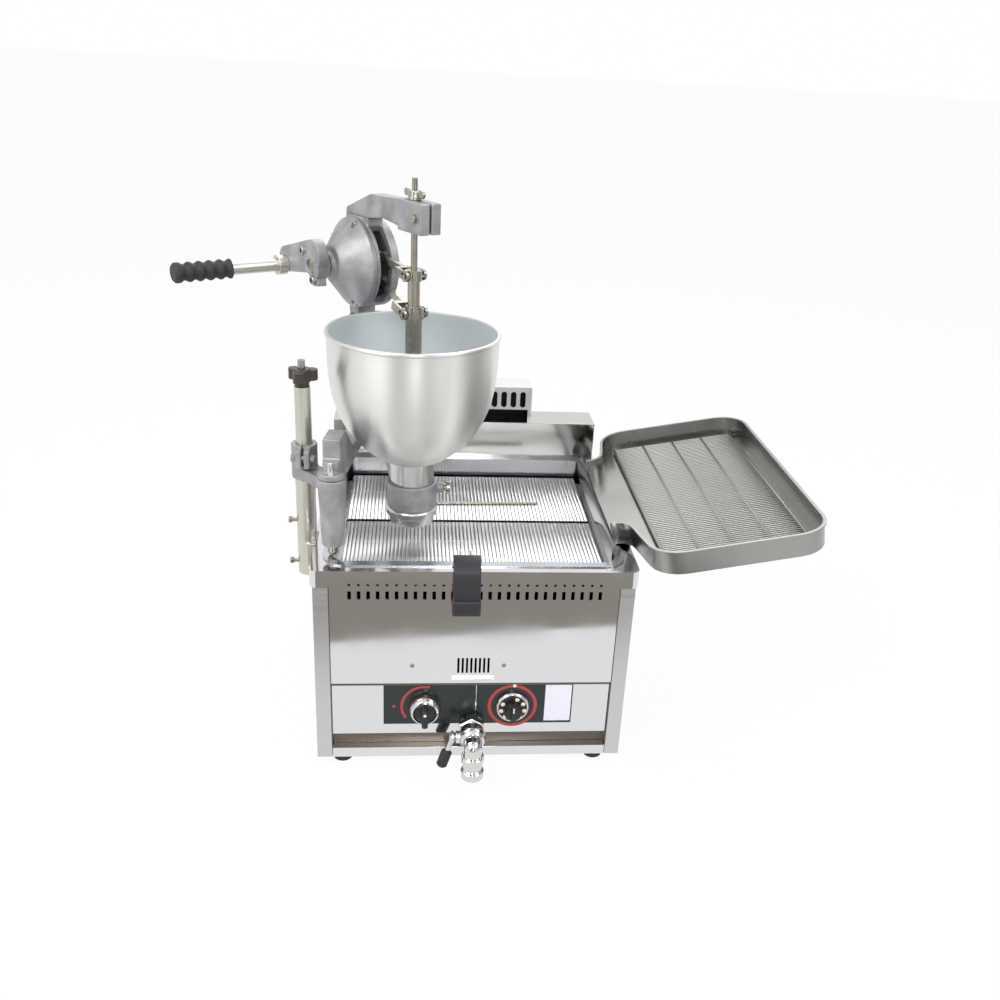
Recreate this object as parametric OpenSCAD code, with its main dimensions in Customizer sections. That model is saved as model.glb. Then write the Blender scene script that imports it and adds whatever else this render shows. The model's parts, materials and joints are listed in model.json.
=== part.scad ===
// Countertop gas donut fryer with a hand-cranked batter depositor.
// Origin: centre of the cabinet footprint on the counter. +X right, +Y back, +Z up.

/* [Cabinet] */
// Width of the deck at each side of the well
deck_side = 30; // [28:1:40]
// Depth of the deck behind the well
deck_back = 80; // [76:1:100]
// Height of the rim above the counter
rim_z = 326; // [310:2:350]
// Height of the rubber feet
foot_h = 14; // [10:1:20]
// Radius of a foot at the counter
foot_r = 14; // [10:1:18]
// Thickness of the stainless sheet
sheet = 2; // [1.6:0.1:2.4]
// How far the side walls sit in from the rim
wall_inset = 4; // [3:0.5:7]
// Width of the folded front columns
column_w = 22; // [18:1:28]
// Height of the folded rim band
band_h = 26; // [22:1:32]
// Radius of the front corners of the rim
rim_corner = 12; // [8:1:20]
// Height of the top edge of the control panel
fascia_top = 143; // [138:1:150]
// Height of the lower edge of the control panel
fascia_low = 53; // [48:1:58]
// Height of the bottom lip
lip_top = 30; // [26:1:34]
// How far the control panel is set back from the front face
fascia_set = 4; // [3:0.5:6]

/* [Vents] */
// Number of vent slots across the front
vent_n = 28; // [20:1:29]
// Spacing of the vent slots
vent_pitch = 13; // [11:0.5:13.5]
// Width of a lower vent slot
vent_w = 5; // [4:0.5:7]
// Height of a lower vent slot
vent_h = 13; // [10:1:16]
// Radius of an upper vent hole
vent_hole_r = 2; // [1.5:0.25:2.5]
// Number of slots in the small centre louvre
louvre_n = 8; // [5:1:9]

/* [Pan] */
// Width of the frying well
pan_w = 400; // [350:2:480]
// Length of the frying well from front to back
pan_l = 392; // [340:2:460]
// Distance from the front of the rim to the well
pan_front = 28; // [24:1:36]
// Depth of the well below the rim
pan_depth = 201; // [190:1:205]
// Radius of the upright corners of the well
pan_corner = 20; // [12:1:26]
// Width of the flange that hangs on the deck
flange_w = 12; // [8:0.5:14]
// Drop from the rim to the screen rails
screen_drop = 34; // [30:1:40]
// Width of a screen rail
rail_w = 10; // [8:0.5:14]

/* [Screens] */
// Gap between a screen and the wall of the well
screen_gap = 7; // [5:0.5:8]
// Length of the front screen
screen_front_l = 180; // [165:1:190]
// Gap between the two screens
screen_split = 8; // [5:0.5:12]
// Gap between a screen and the end wall of the well
screen_end = 12; // [10:0.5:14]
// Spacing of the screen wires
wire_pitch = 12; // [10:1:16]
// Radius of a screen wire
wire_r = 1.5; // [1.2:0.1:1.9]
// Width of the cross rods under the wires
rod_w = 5; // [4:0.5:6]
// Width of the lifter grip
lifter_w = 38; // [32:1:44]
// Sideways place of the lifter grip
lifter_x = -14; // [-20:1:-8]
// Length of the grip hanging in front of the rim
lifter_drop = 58; // [48:1:64]
// Radius of a lifter wire
lifter_wire_r = 2.4; // [1.8:0.1:3]
// Spacing of the two lifter wires
lifter_wires_w = 15; // [12:1:20]

/* [Flue] */
// Depth of the flue box
flue_d = 65; // [60:1:70]
// Height of the flue box above the rim
flue_h = 66; // [56:1:76]
// Width of the chimney hood
chimney_w = 228; // [200:2:240]
// Depth of the chimney hood
chimney_d = 53; // [48:1:56]
// Height of the chimney hood above the flue box
chimney_h = 60; // [54:1:68]
// Height of the open gap under the hood
chimney_gap = 20; // [14:1:22]
// Number of slots in the hood
slot_n = 13; // [9:1:13]
// Spacing of the slots in the hood
slot_pitch = 16.4; // [15:0.2:16.6]
// Width of a slot in the hood
slot_w = 9.6; // [7:0.2:11]
// Length of a slot in the hood
slot_h = 28; // [22:1:30]

/* [Tray] */
// Length of the draining tray along its slope
tray_len = 290; // [270:1:310]
// Width of the tray
tray_w = 476; // [456:2:496]
// Sideways place of the tray's middle, from the middle of the cabinet
tray_mid = -47; // [-57:1:-37]
// Height of the tray's wall
tray_wall = 33; // [28:1:38]
// Upward tilt of the tray
tray_tilt = 10; // [7:0.5:12]
// Radius of the tray's outer corners
tray_corner = 46; // [36:1:54]
// Radius of the bend where the chute starts to widen
chute_bend = 26; // [20:1:32]
// Angle that the chute's wall turns outwards
chute_turn = 80; // [72:1:86]
// Height of the ridge over the edge of the well
hook_ridge = 14; // [10:1:18]
// Length of the hook inside the well
hook_drop = 18; // [12:1:24]
// Spacing of the rack wires
rack_pitch = 12; // [10:1:16]
// Number of rods under the rack
rack_rods = 5; // [4:1:6]

/* [Support post] */
// Radius of the support post
post_r = 11; // [10:0.25:12]
// Distance from the side wall to the post's axis
post_out = 14; // [12:0.5:17]
// Distance from the front of the rim to the post's axis
post_in = 100; // [94:1:106]
// Height of the top of the post
post_top = 556; // [540:1:570]
// Height of the top of the wall bracket
bracket_top = 424; // [415:1:428]
// Height of the wall bracket
bracket_h = 150; // [130:1:160]
// Radius of the lifting screw in the post
screw_r = 5; // [4:0.25:6]
// Travel of the head up the post
lift_travel = 30; // [20:1:40]
// Radius of a lobe of the hand knob
lobe_r = 8; // [6:0.5:10]

/* [Swing socket] */
// Distance of the swing axis inwards from the post
pivot_in = 41; // [37:0.5:45]
// Distance of the swing axis forwards from the post
pivot_fore = 52; // [48:1:56]
// Height of the top of the socket
socket_top = 444; // [438:1:450]
// Length of the socket
socket_h = 99; // [90:1:104]
// Radius of the socket at its top
socket_r = 20; // [18:0.5:22]
// Radius of the socket at its foot
socket_foot_r = 15.5; // [13:0.5:17]
// Radius of the swing shaft
shaft_r = 8; // [7:0.25:9]

/* [Hopper] */
// Distance of the hopper axis inwards from the swing axis
hop_in = 108; // [104:1:112]
// Distance of the hopper axis backwards from the swing axis
hop_aft = 109; // [105:1:113]
// Height of the hopper rim
hop_rim_z = 619; // [612:1:622]
// Height of the foot of the bowl
hop_foot_z = 430; // [426:1:434]
// Radius of the hopper rim
hop_rim_r = 120; // [114:1:122]
// Outer radius of the neck cylinder
neck_r = 32; // [31:0.5:34]
// Radius of the passage through the neck
bore_r = 28.5; // [27:0.5:29]
// Height of the top of the cast neck ring
ring_top = 397; // [394:1:402]
// Height of the foot of the cast neck ring
ring_low = 358; // [355:1:362]
// Height of the mouth of the nozzle
nozzle_z = 333; // [332:0.5:336]

/* [Plunger] */
// Radius of the inner rod
inner_r = 8.5; // [7.5:0.25:9]
// Radius of the rod in its guide
guide_r = 4.5; // [4:0.25:5]
// Radius of the outer sleeve
sleeve_r = 11.5; // [10.5:0.25:12.5]
// Radius of the cutting disc
disc_r = 22; // [18:1:25]
// Height of the upper collar pin
upper_pin_z = 698; // [694:1:702]
// Height of the lower collar pin
lower_pin_z = 646; // [642:1:650]
// Radius of the collar pins
pin_r = 2.7; // [2.2:0.1:3]
// Height of a collar
collar_h = 14; // [12:1:16]

/* [Cam housing] */
// Heading of the head's centre plane, from the housing to the rod
head_yaw = -58; // [-64:1:-52]
// Distance from the rod to the housing axis
drum_u = 136; // [132:1:140]
// Height of the housing axis
drum_z = 692; // [688:1:696]
// Radius of the housing
drum_r = 64; // [60:1:65]
// Thickness of the housing
drum_t = 42; // [38:1:46]
// Thickness of the housing's rim
drum_rim = 12; // [10:1:14]
// Width of the lever slot in the rim
slot_gap = 18; // [16:1:20]
// Distance from the rod to the lever pivots
lever_len = 100; // [96:1:104]
// Rest angle of the upper lever below level
upper_angle = 5.5; // [4:0.5:7]
// Rest angle of the lower lever below level
lower_angle = 15; // [13:0.5:17]
// Radius of the lever pivot pins
pivot_r = 4; // [3:0.25:5]
// Thickness of the top arm
arm_t = 24; // [20:1:28]

/* [Crank] */
// Radius of the crank shaft
crank_r = 9; // [8:0.25:10]
// Distance from the shaft to the handle
crank_len = 66; // [60:1:72]
// Drop angle of the crank arm at rest
crank_drop = 8; // [4:1:14]
// Radius of the handle rod
handle_r = 9; // [8:0.25:10]
// Distance from the housing's middle to the end of the handle
handle_end = 260; // [250:1:270]
// Length of the rubber grip
grip_len = 82; // [74:1:94]
// Thickness of the grip over its bumps
grip_wall = 5; // [4:0.25:6]
// Number of bumps on the grip
bump_n = 5; // [4:1:6]

/* [Controls] */
// Height of the knob axes
knob_z = 101; // [97:1:105]
// Sideways place of the gas knob
gas_x = -69; // [-74:1:-64]
// Sideways place of the thermostat dial
dial_x = 60; // [56:1:66]
// Radius of the gas knob's bezel
gas_r = 23; // [20:0.5:26]
// Radius of the thermostat dial
dial_r = 25; // [22:0.5:28]
// Radius of a control stem
stem_r = 4; // [3:0.25:5]
// Height of the black control plates
plate_h = 69; // [62:1:72]
// Height of the foot of the control plates
plate_z = 70; // [66:1:72]

/* [Drain] */
// Height of the drain pipe at the front
drain_z = 70; // [66:1:74]
// Outer radius of the drain pipe
pipe_r = 10.5; // [9.5:0.25:11]
// Bore of the drain pipe
pipe_bore = 8; // [7:0.25:8.5]
// Radius of the valve ball
ball_r = 11; // [10.5:0.25:12]
// Length of the drain lever
lever_drop = 48; // [40:1:52]
// Height of the spout's mouth
spout_z = 22; // [16:1:28]

/* [Gas] */
// Length of a burner tube
burner_l = 300; // [240:5:310]
// Radius of a burner tube
burner_r = 14; // [11:0.5:16]
// Half spacing of the burner tubes
burner_x = 90; // [70:1:110]
// Height of the burner tubes
burner_z = 85; // [78:1:88]
// Radius of the gas pipe
gas_pipe_r = 7; // [5:0.5:8]
// Radius of the gas inlet's thread
inlet_r = 10.5; // [9:0.25:11]
// Height of the gas inlet
inlet_z = 60; // [52:1:66]
// Sideways place of the gas inlet
inlet_x = -150; // [-170:1:-130]

/* [Fits] */
// Radius of the screws, bolts and lifting pin
bolt_r = 3; // [2.5:0.25:3.5]
// Radial running clearance
fit = 0.05; // [0.02:0.01:0.08]
// Clearance between pieces that only pass each other
clear = 0.4; // [0.3:0.05:0.6]

/* [Hidden] */
$fn = 48;

// Cabinet faces
rim_w = pan_w + 2 * deck_side;
cab_d = pan_front + pan_l + deck_back;
front = -cab_d / 2;
back = cab_d / 2;
half_rim = rim_w / 2;
wall_x = half_rim - wall_inset;
face_y = front + sheet;
under_deck = rim_z - sheet;
column_fold = 14;
seam = 0.5;
half_panel = wall_x - column_w - seam;
fascia_y = face_y + fascia_set;
strip_y = face_y + 16;
rear_y = back - 2 * sheet;

// Frying well
pan_y0 = front + pan_front;
pan_y1 = pan_y0 + pan_l;
pan_mid = (pan_y0 + pan_y1) / 2;
pan_floor = rim_z - pan_depth;
flange_top = rim_z + sheet;
rail_top = rim_z - screen_drop;
screen_w = pan_w - 2 * screen_gap;
screen_y0 = pan_y0 + screen_end;
screen_back_l = pan_l - 2 * screen_end - screen_split - screen_front_l;
drain_y = pan_y0 + 32;
bulb_y = pan_y1 - 50;
bulb_z = pan_floor + 25;

// Flue
flue_y = back - sheet - flue_d;
flue_top = rim_z + flue_h;
chimney_y = back - sheet - chimney_d;
chimney_top = flue_top + chimney_h;

// Tray, in its own sloping frame that starts at the edge of the well
tray_x = pan_w / 2 + 3;
tray_z = flange_top + 0.5;
chute_front = tray_w / 2 - 120;
chute_back = tray_w / 2 - 111;
chute_run = 4;
hook_y0 = pan_y0 + pan_corner + 2;
hook_y1 = pan_y1 - pan_corner - 2;

// Post, swing axis and hopper axis
post_x = -wall_x - post_out;
post_y = front + post_in;
pivot_x = post_x + pivot_in;
pivot_y = post_y - pivot_fore;
hop_x = pivot_x + hop_in;
hop_y = pivot_y + hop_aft;

// Clamp boss on the post
boss_r = post_r + 7;
lift_pin_z = bracket_top + 26;

// Head frame
head_d = [cos(head_yaw), sin(head_yaw)];
head_e = [-sin(head_yaw), cos(head_yaw)];
pivot_rel = [pivot_x - hop_x, pivot_y - hop_y];
pivot_u = pivot_rel * head_d;
pivot_v = pivot_rel * head_e;
column_u = -drum_u - 10;
column_half = [13, 16];
column_top = drum_z - drum_r - 14;
arm_run = [column_u - pivot_u, -pivot_v];
arm_span = norm(arm_run);
arm_turn = atan2(arm_run[1], arm_run[0]);
arm_top = socket_top + 12;
arm_half = 13;
gusset_top = arm_top + 42;
upper_pivot_z = upper_pin_z + lever_len * tan(upper_angle);
lower_pivot_z = lower_pin_z + lever_len * tan(lower_angle);
arm_foot = drum_z + drum_r + 2;
guide_top = arm_foot + 39;
guide_low = arm_foot - 1;
half_t = drum_t / 2;
inside = half_t - 7;
cone_end = half_t + 33;
neck_end = cone_end + 8;
crank_hub = neck_end + 2;
crank_face = crank_hub + 30;
grip_r = handle_r + grip_wall;

// Drain valve
valve_y = front - 28;
spout_y = valve_y - 28;

// Rounded rectangle centred on the origin
module round_rect(w, l, r) {
    square([w, l - 2 * r], center = true);
    square([w - 2 * r, l], center = true);
    for (sx = [-1, 1], sy = [-1, 1])
        translate([sx * (w / 2 - r), sy * (l / 2 - r)]) circle(r);
}

// Straight round bar between two points
module bar(p, q, r) {
    v = q - p;
    len = norm(v);
    translate(p)
        rotate([0, acos(v[2] / len), atan2(v[1], v[0])])
            cylinder(h = len, r = r);
}

// Round bar that follows a list of points, with swelled ball corners
module bent_bar(pts, r) {
    for (i = [0 : len(pts) - 2]) bar(pts[i], pts[i + 1], r);
    for (i = [1 : len(pts) - 2]) translate(pts[i]) sphere(r * 1.2);
}

// Cylinder along -Y, from y outwards
module toward_front(x, y, z, h, r) {
    translate([x, y, z]) rotate([90, 0, 0]) cylinder(h = h, r = r);
}

// Frame of the depositor head: hopper axis at the origin, +X from the housing to the rod
module at_head() {
    translate([hop_x, hop_y, 0]) rotate([0, 0, head_yaw]) children();
}

// Cylinder along the head's cross axis, between two offsets
module across(u, z, v0, v1, r) {
    translate([u, v1, z]) rotate([90, 0, 0]) cylinder(h = v1 - v0, r = r);
}

// Plate in the head's centre plane, drawn as (u, z) points
module head_plate(v0, v1) {
    translate([0, v1, 0]) rotate([90, 0, 0]) linear_extrude(v1 - v0) children();
}

// Frame of the tray: origin on the edge of the well, +X up the slope
module at_tray() {
    translate([tray_x, tray_mid, tray_z]) rotate([0, -tray_tilt, 0]) children();
}

// Outline of the rim, o inwards
module rim_outline(o) {
    r = rim_corner - o;
    hw = half_rim - o;
    translate([-hw, front + o + r]) square([2 * hw, cab_d - 2 * o - r]);
    translate([-hw + r, front + o]) square([2 * hw - 2 * r, r + 1]);
    for (s = [-1, 1]) translate([s * (hw - r), front + o + r]) circle(r);
}

// Rows of vents across the front, cut through y
module vent_cuts() {
    low_z = rim_z - band_h - 12.5;
    high_z = rim_z - band_h + 5;
    for (i = [0 : vent_n - 1]) {
        x = (i - (vent_n - 1) / 2) * vent_pitch;
        translate([x - vent_w / 2, front - 1, low_z - vent_h / 2]) cube([vent_w, 10, vent_h]);
        toward_front(x, front + 9, high_z, 10, vent_hole_r);
    }
}

// Two folded side walls with their front columns
module side_panels() {
    wall_y = face_y + column_fold;
    column_h = rim_z - band_h - foot_h;
    color("#c8c8cc")
        for (s = [0, 1]) mirror([s, 0, 0]) {
            translate([wall_x - sheet, wall_y, foot_h])
                cube([sheet, back - sheet - wall_y, under_deck - foot_h]);
            translate([wall_x - sheet, face_y, foot_h]) cube([sheet, column_fold, column_h]);
            translate([wall_x - column_w, face_y, foot_h]) cube([column_w, sheet, column_h]);
            translate([wall_x - column_w, face_y, foot_h]) cube([sheet, column_fold, column_h]);
        }
}

// Floor of the cabinet, folded up into the bottom lip
module base_plate() {
    inner = wall_x - sheet;
    y1 = face_y + column_fold + 1;
    color("#b9b9bd") {
        translate([-inner, y1, foot_h]) cube([2 * inner, rear_y - y1, sheet]);
        translate([-half_panel, face_y, foot_h]) cube([2 * half_panel, y1 - face_y, sheet]);
        translate([-half_panel, face_y, foot_h]) cube([2 * half_panel, sheet, lip_top - foot_h]);
        translate([-half_panel, face_y, lip_top - sheet])
            cube([2 * half_panel, strip_y - face_y, sheet]);
    }
}

// Back wall, with a hole for the gas inlet and a row of air slots
module rear_panel() {
    inner = wall_x - sheet;
    color("#b9b9bd")
        difference() {
            translate([-inner, rear_y, foot_h]) cube([2 * inner, sheet, under_deck - foot_h]);
            toward_front(inlet_x, back, inlet_z, 4 * sheet, inlet_r + clear);
            for (i = [-4 : 4])
                translate([i * 24 - 4, rear_y - 1, pan_floor + 25]) cube([8, sheet + 2, 60]);
        }
}

// Upper front panel with vent slots, a small louvre and its ledge
module front_panel() {
    louvre_z = fascia_top + 30;
    color("#c8c8cc")
        difference() {
            union() {
                translate([-half_panel, face_y, fascia_top])
                    cube([2 * half_panel, sheet, under_deck - fascia_top]);
                translate([-half_panel, face_y, fascia_top]) cube([2 * half_panel, 14, sheet]);
                translate([-30, face_y - 4, fascia_top + 7]) cube([60, 4, 3]);
            }
            vent_cuts();
            for (i = [0 : louvre_n - 1])
                translate([(i - (louvre_n - 1) / 2) * 6.2 - 1.6, front - 1, louvre_z - 12.5])
                    cube([3.2, 10, 25]);
        }
}

// Recessed control panel, folded back into the dark strip under it
module control_panel() {
    color("#c4c4c8")
        difference() {
            union() {
                translate([-half_panel, fascia_y, fascia_low])
                    cube([2 * half_panel, sheet, fascia_top - fascia_low]);
                translate([-half_panel, fascia_y, fascia_low])
                    cube([2 * half_panel, strip_y - fascia_y, sheet]);
                translate([-half_panel, strip_y - sheet, lip_top])
                    cube([2 * half_panel, sheet, fascia_low + sheet - lip_top]);
            }
            for (x = [gas_x, dial_x]) toward_front(x, fascia_y + 5, knob_z, 10, stem_r + 1);
            toward_front(0, strip_y + 5, drain_z, 30, pipe_r + clear);
        }
}

// Top deck with its folded band, open over the well and the flue
module rim_deck() {
    well_w = pan_w + 2 * sheet + 1;
    well_l = pan_l + 2 * sheet + 1;
    color("#c8c8cc")
        difference() {
            translate([0, 0, rim_z - band_h]) linear_extrude(band_h) rim_outline(0);
            translate([0, 0, rim_z - band_h - 1]) linear_extrude(band_h - sheet + 1) rim_outline(sheet);
            translate([0, pan_mid, under_deck - 1])
                linear_extrude(sheet + 2) round_rect(well_w, well_l, pan_corner + sheet);
            translate([-wall_x + 30, flue_y + 8, under_deck - 1])
                cube([2 * wall_x - 60, flue_d - 16, sheet + 2]);
            translate([post_x - 40, post_y - 25 - clear, rim_z - band_h - 1])
                cube([-wall_x + clear - post_x + 40, 50 + 2 * clear, band_h + 2]);
            vent_cuts();
        }
}

// Four rubber feet
module feet() {
    color("#1c1c1c")
        for (sx = [-1, 1], y = [front + 24, back - 34])
            translate([sx * (wall_x - 36), y, 0])
                rotate_extrude() polygon([[0, 0], [foot_r, 0], [foot_r - 1.5, foot_h], [0, foot_h]]);
}

// Frying well with its hanging flange, screen rails and drain hole
module fry_pan() {
    flange = flange_w + sheet;
    flange_y0 = pan_y0 - flange;
    flange_y1 = min(pan_y1 + flange, flue_y - clear);
    color("#d2d2d6")
        difference() {
            union() {
                translate([0, pan_mid, pan_floor - sheet])
                    linear_extrude(pan_depth + 2 * sheet)
                        round_rect(pan_w + 2 * sheet, pan_l + 2 * sheet, pan_corner + sheet);
                translate([0, (flange_y0 + flange_y1) / 2, rim_z])
                    linear_extrude(sheet)
                        round_rect(pan_w + 2 * flange, flange_y1 - flange_y0, pan_corner + flange);
            }
            difference() {
                translate([0, pan_mid, pan_floor])
                    linear_extrude(pan_depth + 2 * sheet) round_rect(pan_w, pan_l, pan_corner);
                for (s = [0, 1]) mirror([s, 0, 0])
                    translate([pan_w / 2 - rail_w, pan_y0 + pan_corner, rail_top - 3])
                        cube([rail_w, pan_l - 2 * pan_corner, 3]);
            }
            translate([0, drain_y, pan_floor - 2 * sheet]) cylinder(h = 4 * sheet, r = pipe_bore);
            translate([pan_w / 2 - 5, bulb_y, bulb_z])
                rotate([0, 90, 0]) cylinder(h = 10, r = 2 + clear);
        }
}

// Flue box on the back of the deck
module flue_box() {
    color("#c8c8cc")
        difference() {
            translate([-wall_x, flue_y, rim_z]) cube([2 * wall_x, flue_d, flue_h]);
            translate([-wall_x + sheet, flue_y + sheet, rim_z - 1])
                cube([2 * (wall_x - sheet), flue_d - 2 * sheet, flue_h + 1 - sheet]);
            translate([-chimney_w / 2 + 14, chimney_y + 8, flue_top - 2 * sheet])
                cube([chimney_w - 28, chimney_d - 16, 4 * sheet]);
        }
}

// Chimney hood with an open gap and upright slots
module chimney() {
    slot_z = chimney_top - 8 - slot_h / 2;
    color("#d0d0d4")
        difference() {
            translate([-chimney_w / 2, chimney_y, flue_top]) cube([chimney_w, chimney_d, chimney_h]);
            translate([-chimney_w / 2 + sheet, chimney_y + sheet, flue_top - 1])
                cube([chimney_w - 2 * sheet, chimney_d - 2 * sheet, chimney_h + 1 - sheet]);
            translate([-chimney_w / 2 + 6, chimney_y - 1, flue_top - 1])
                cube([chimney_w - 12, sheet + 2, chimney_gap + 1]);
            for (i = [0 : slot_n - 1]) {
                x = (i - (slot_n - 1) / 2) * slot_pitch;
                straight = slot_h - slot_w;
                translate([x - slot_w / 2, chimney_y - 1, slot_z - straight / 2])
                    cube([slot_w, sheet + 2, straight]);
                for (s = [-1, 1])
                    toward_front(x, chimney_y + sheet + 1, slot_z + s * straight / 2, sheet + 2, slot_w / 2);
            }
        }
}

// Two black plates behind the controls
module control_plates() {
    seam_x = 6;
    spans = [[gas_x - 60, seam_x - 0.5], [seam_x + 0.5, dial_x + 89]];
    color("#1b2424")
        difference() {
            for (s = spans)
                translate([s[0], fascia_y - 1, plate_z]) cube([s[1] - s[0], 1, plate_h]);
            for (x = [gas_x, dial_x]) toward_front(x, fascia_y + 1, knob_z, 3, stem_r + 1);
            toward_front(0, fascia_y + 1, drain_z, 3, pipe_r + 6);
        }
}

// Gas cock behind the control panel
module gas_valve() {
    y0 = fascia_y + sheet;
    color("#b08d57")
        difference() {
            union() {
                translate([gas_x - 17, y0, burner_z - 11])
                    cube([34, 27, knob_z + 17 - burner_z + 11]);
                toward_front(gas_x, y0 + 34, burner_z, 8, 10);
            }
            toward_front(gas_x, y0 + 20, knob_z, 21, stem_r + fit);
        }
}

// Supply pipe from the inlet thread to the cock, and the branch to the burner
module gas_pipe() {
    y0 = fascia_y + sheet;
    drop_y = y0 + 20;
    low = burner_z - 11;
    turn_z = inlet_z - 8;
    color("#b5b0a4") {
        bent_bar([
            [gas_x, drop_y, low], [gas_x, drop_y, turn_z], [inlet_x, drop_y, turn_z],
            [inlet_x, drop_y + 24, turn_z], [inlet_x, drop_y + 44, inlet_z], [inlet_x, back - 20, inlet_z]
        ], gas_pipe_r);
        toward_front(inlet_x, back + 20, inlet_z, 44, inlet_r);
        toward_front(inlet_x, back + 2, inlet_z, 2 + sheet, inlet_r + 3);
        toward_front(gas_x, front + 70, burner_z, front + 70 - y0 - 34, gas_pipe_r - 1);
    }
}

// Twin tube burner on its stands, with the pilot beside it
module burner() {
    head_y = front + 85;
    color("#8a8378") {
        translate([-burner_x - 20, head_y, burner_z]) rotate([0, 90, 0])
            cylinder(h = 2 * burner_x + 40, r = 12);
        toward_front(gas_x, head_y, burner_z, 15, 9);
        for (s = [-1, 1]) {
            toward_front(s * burner_x, head_y + burner_l, burner_z, burner_l, burner_r);
            for (y = [head_y + burner_l / 5, head_y + burner_l * 5 / 6])
                translate([s * burner_x - 5, y, foot_h + sheet]) cube([10, 12, burner_z - foot_h - sheet]);
        }
        translate([0, head_y + 18, burner_z]) cylinder(h = 22, r = 5);
        translate([-8, head_y, burner_z - 6]) cube([16, 24, 12]);
    }
}

// Thermostat with its capillary and the sensing bulb in the well
module thermostat_body() {
    y0 = fascia_y + sheet;
    side = pan_w / 2 + sheet + 9;
    color("#a9a59a") {
        difference() {
            translate([dial_x - 20, y0, knob_z - 16]) cube([40, 36, 32]);
            toward_front(dial_x, y0 + 24, knob_z, 25, stem_r + fit);
        }
        bent_bar([
            [dial_x + 20, y0 + 18, knob_z], [side, y0 + 18, knob_z], [side, bulb_y, knob_z],
            [side, bulb_y, bulb_z], [pan_w / 2 - 14, bulb_y, bulb_z]
        ], 2);
        toward_front(pan_w / 2 - 18, bulb_y + 25, bulb_z, 100, 5);
    }
}

// Black gas knob on its stem
module gas_knob() {
    y0 = fascia_y - 1 - clear;
    color("#1a1a1a") {
        toward_front(gas_x, fascia_y + 18, knob_z, 30, stem_r);
        toward_front(gas_x, y0, knob_z, 24, gas_r - 6);
        translate([gas_x - 4.5, y0 - 38, knob_z - gas_r + 8]) cube([9, 18, 2 * gas_r - 16]);
    }
}

// Chrome bezel round the gas knob
module gas_bezel() {
    y0 = fascia_y - 1 - clear;
    color("#d8d4c8")
        translate([gas_x, y0, knob_z]) rotate([90, 0, 0])
            rotate_extrude()
                polygon([
                    [gas_r - 6 + fit, 0], [gas_r - 2, 0], [gas_r, 4], [gas_r, 12],
                    [gas_r - 3, 18], [gas_r - 6 + fit, 20]
                ]);
}

// Black thermostat dial on its stem
module thermostat_dial() {
    y0 = fascia_y - 1 - clear;
    color("#161616") {
        toward_front(dial_x, fascia_y + 22, knob_z, 34, stem_r);
        toward_front(dial_x, y0, knob_z, 9, dial_r - 4);
        toward_front(dial_x, y0 - 9, knob_z, 13, dial_r - 11);
        translate([dial_x - 4, y0 - 26, knob_z - dial_r + 11]) cube([8, 17, 2 * dial_r - 22]);
    }
}

// Chrome ring round the thermostat dial
module dial_ring() {
    y0 = fascia_y - 1 - clear;
    color("#d2cfc6")
        translate([dial_x, y0, knob_z]) rotate([90, 0, 0])
            rotate_extrude()
                polygon([
                    [dial_r - 4 + fit, 0], [dial_r, 0], [dial_r, 4], [dial_r - 2, 7], [dial_r - 4 + fit, 7]
                ]);
}

// Drain pipe from the floor of the well to the front
module drain_pipe() {
    top = pan_floor - sheet;
    mouth = front - 14;
    color("#b9b6ae")
        difference() {
            union() {
                translate([0, drain_y, drain_z]) cylinder(h = top - drain_z, r = pipe_r);
                translate([0, drain_y, drain_z]) sphere(pipe_r);
                toward_front(0, drain_y, drain_z, drain_y - mouth, pipe_r);
            }
            translate([0, drain_y, drain_z]) cylinder(h = top - drain_z + 1, r = pipe_bore);
            translate([0, drain_y, drain_z]) sphere(pipe_bore);
            toward_front(0, drain_y, drain_z, drain_y - mouth + 1, pipe_bore);
        }
}

// Cast drain valve with its stem boss and downturned spout
module valve_body() {
    color("#b4b4b2")
        difference() {
            union() {
                toward_front(0, front - 4, drain_z, 16, pipe_r + 5);
                translate([0, valve_y, drain_z]) sphere(ball_r + 6);
                toward_front(0, valve_y, drain_z, valve_y - spout_y, 13);
                translate([0, spout_y, drain_z]) sphere(13);
                translate([0, spout_y, spout_z + 12]) cylinder(h = drain_z - spout_z - 12, r = 13);
                translate([0, spout_y, spout_z]) cylinder(h = 14, r = 14.5);
                translate([-ball_r - 13, valve_y, drain_z]) rotate([0, 90, 0]) cylinder(h = 16, r = 9);
            }
            toward_front(0, front - 3, drain_z, 11 + fit, pipe_r + fit);
            toward_front(0, front - 3, drain_z, front - 3 - spout_y, pipe_bore);
            translate([0, valve_y, drain_z]) sphere(ball_r + clear);
            translate([0, spout_y, drain_z]) sphere(pipe_bore + 1);
            translate([0, spout_y, spout_z - 1]) cylinder(h = drain_z - spout_z + 1, r = pipe_bore + 1);
            translate([-ball_r - 14, valve_y, drain_z]) rotate([0, 90, 0])
                cylinder(h = ball_r + 14, r = stem_r + fit);
        }
}

// Drilled ball on its stem
module valve_ball() {
    color("#c9c9c9")
        difference() {
            union() {
                translate([0, valve_y, drain_z]) sphere(ball_r);
                translate([-ball_r - 22, valve_y, drain_z]) rotate([0, 90, 0])
                    cylinder(h = ball_r + 22, r = stem_r);
            }
            translate([0, valve_y, drain_z - ball_r - 1]) cylinder(h = 2 * ball_r + 2, r = pipe_bore - 1);
        }
}

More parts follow.
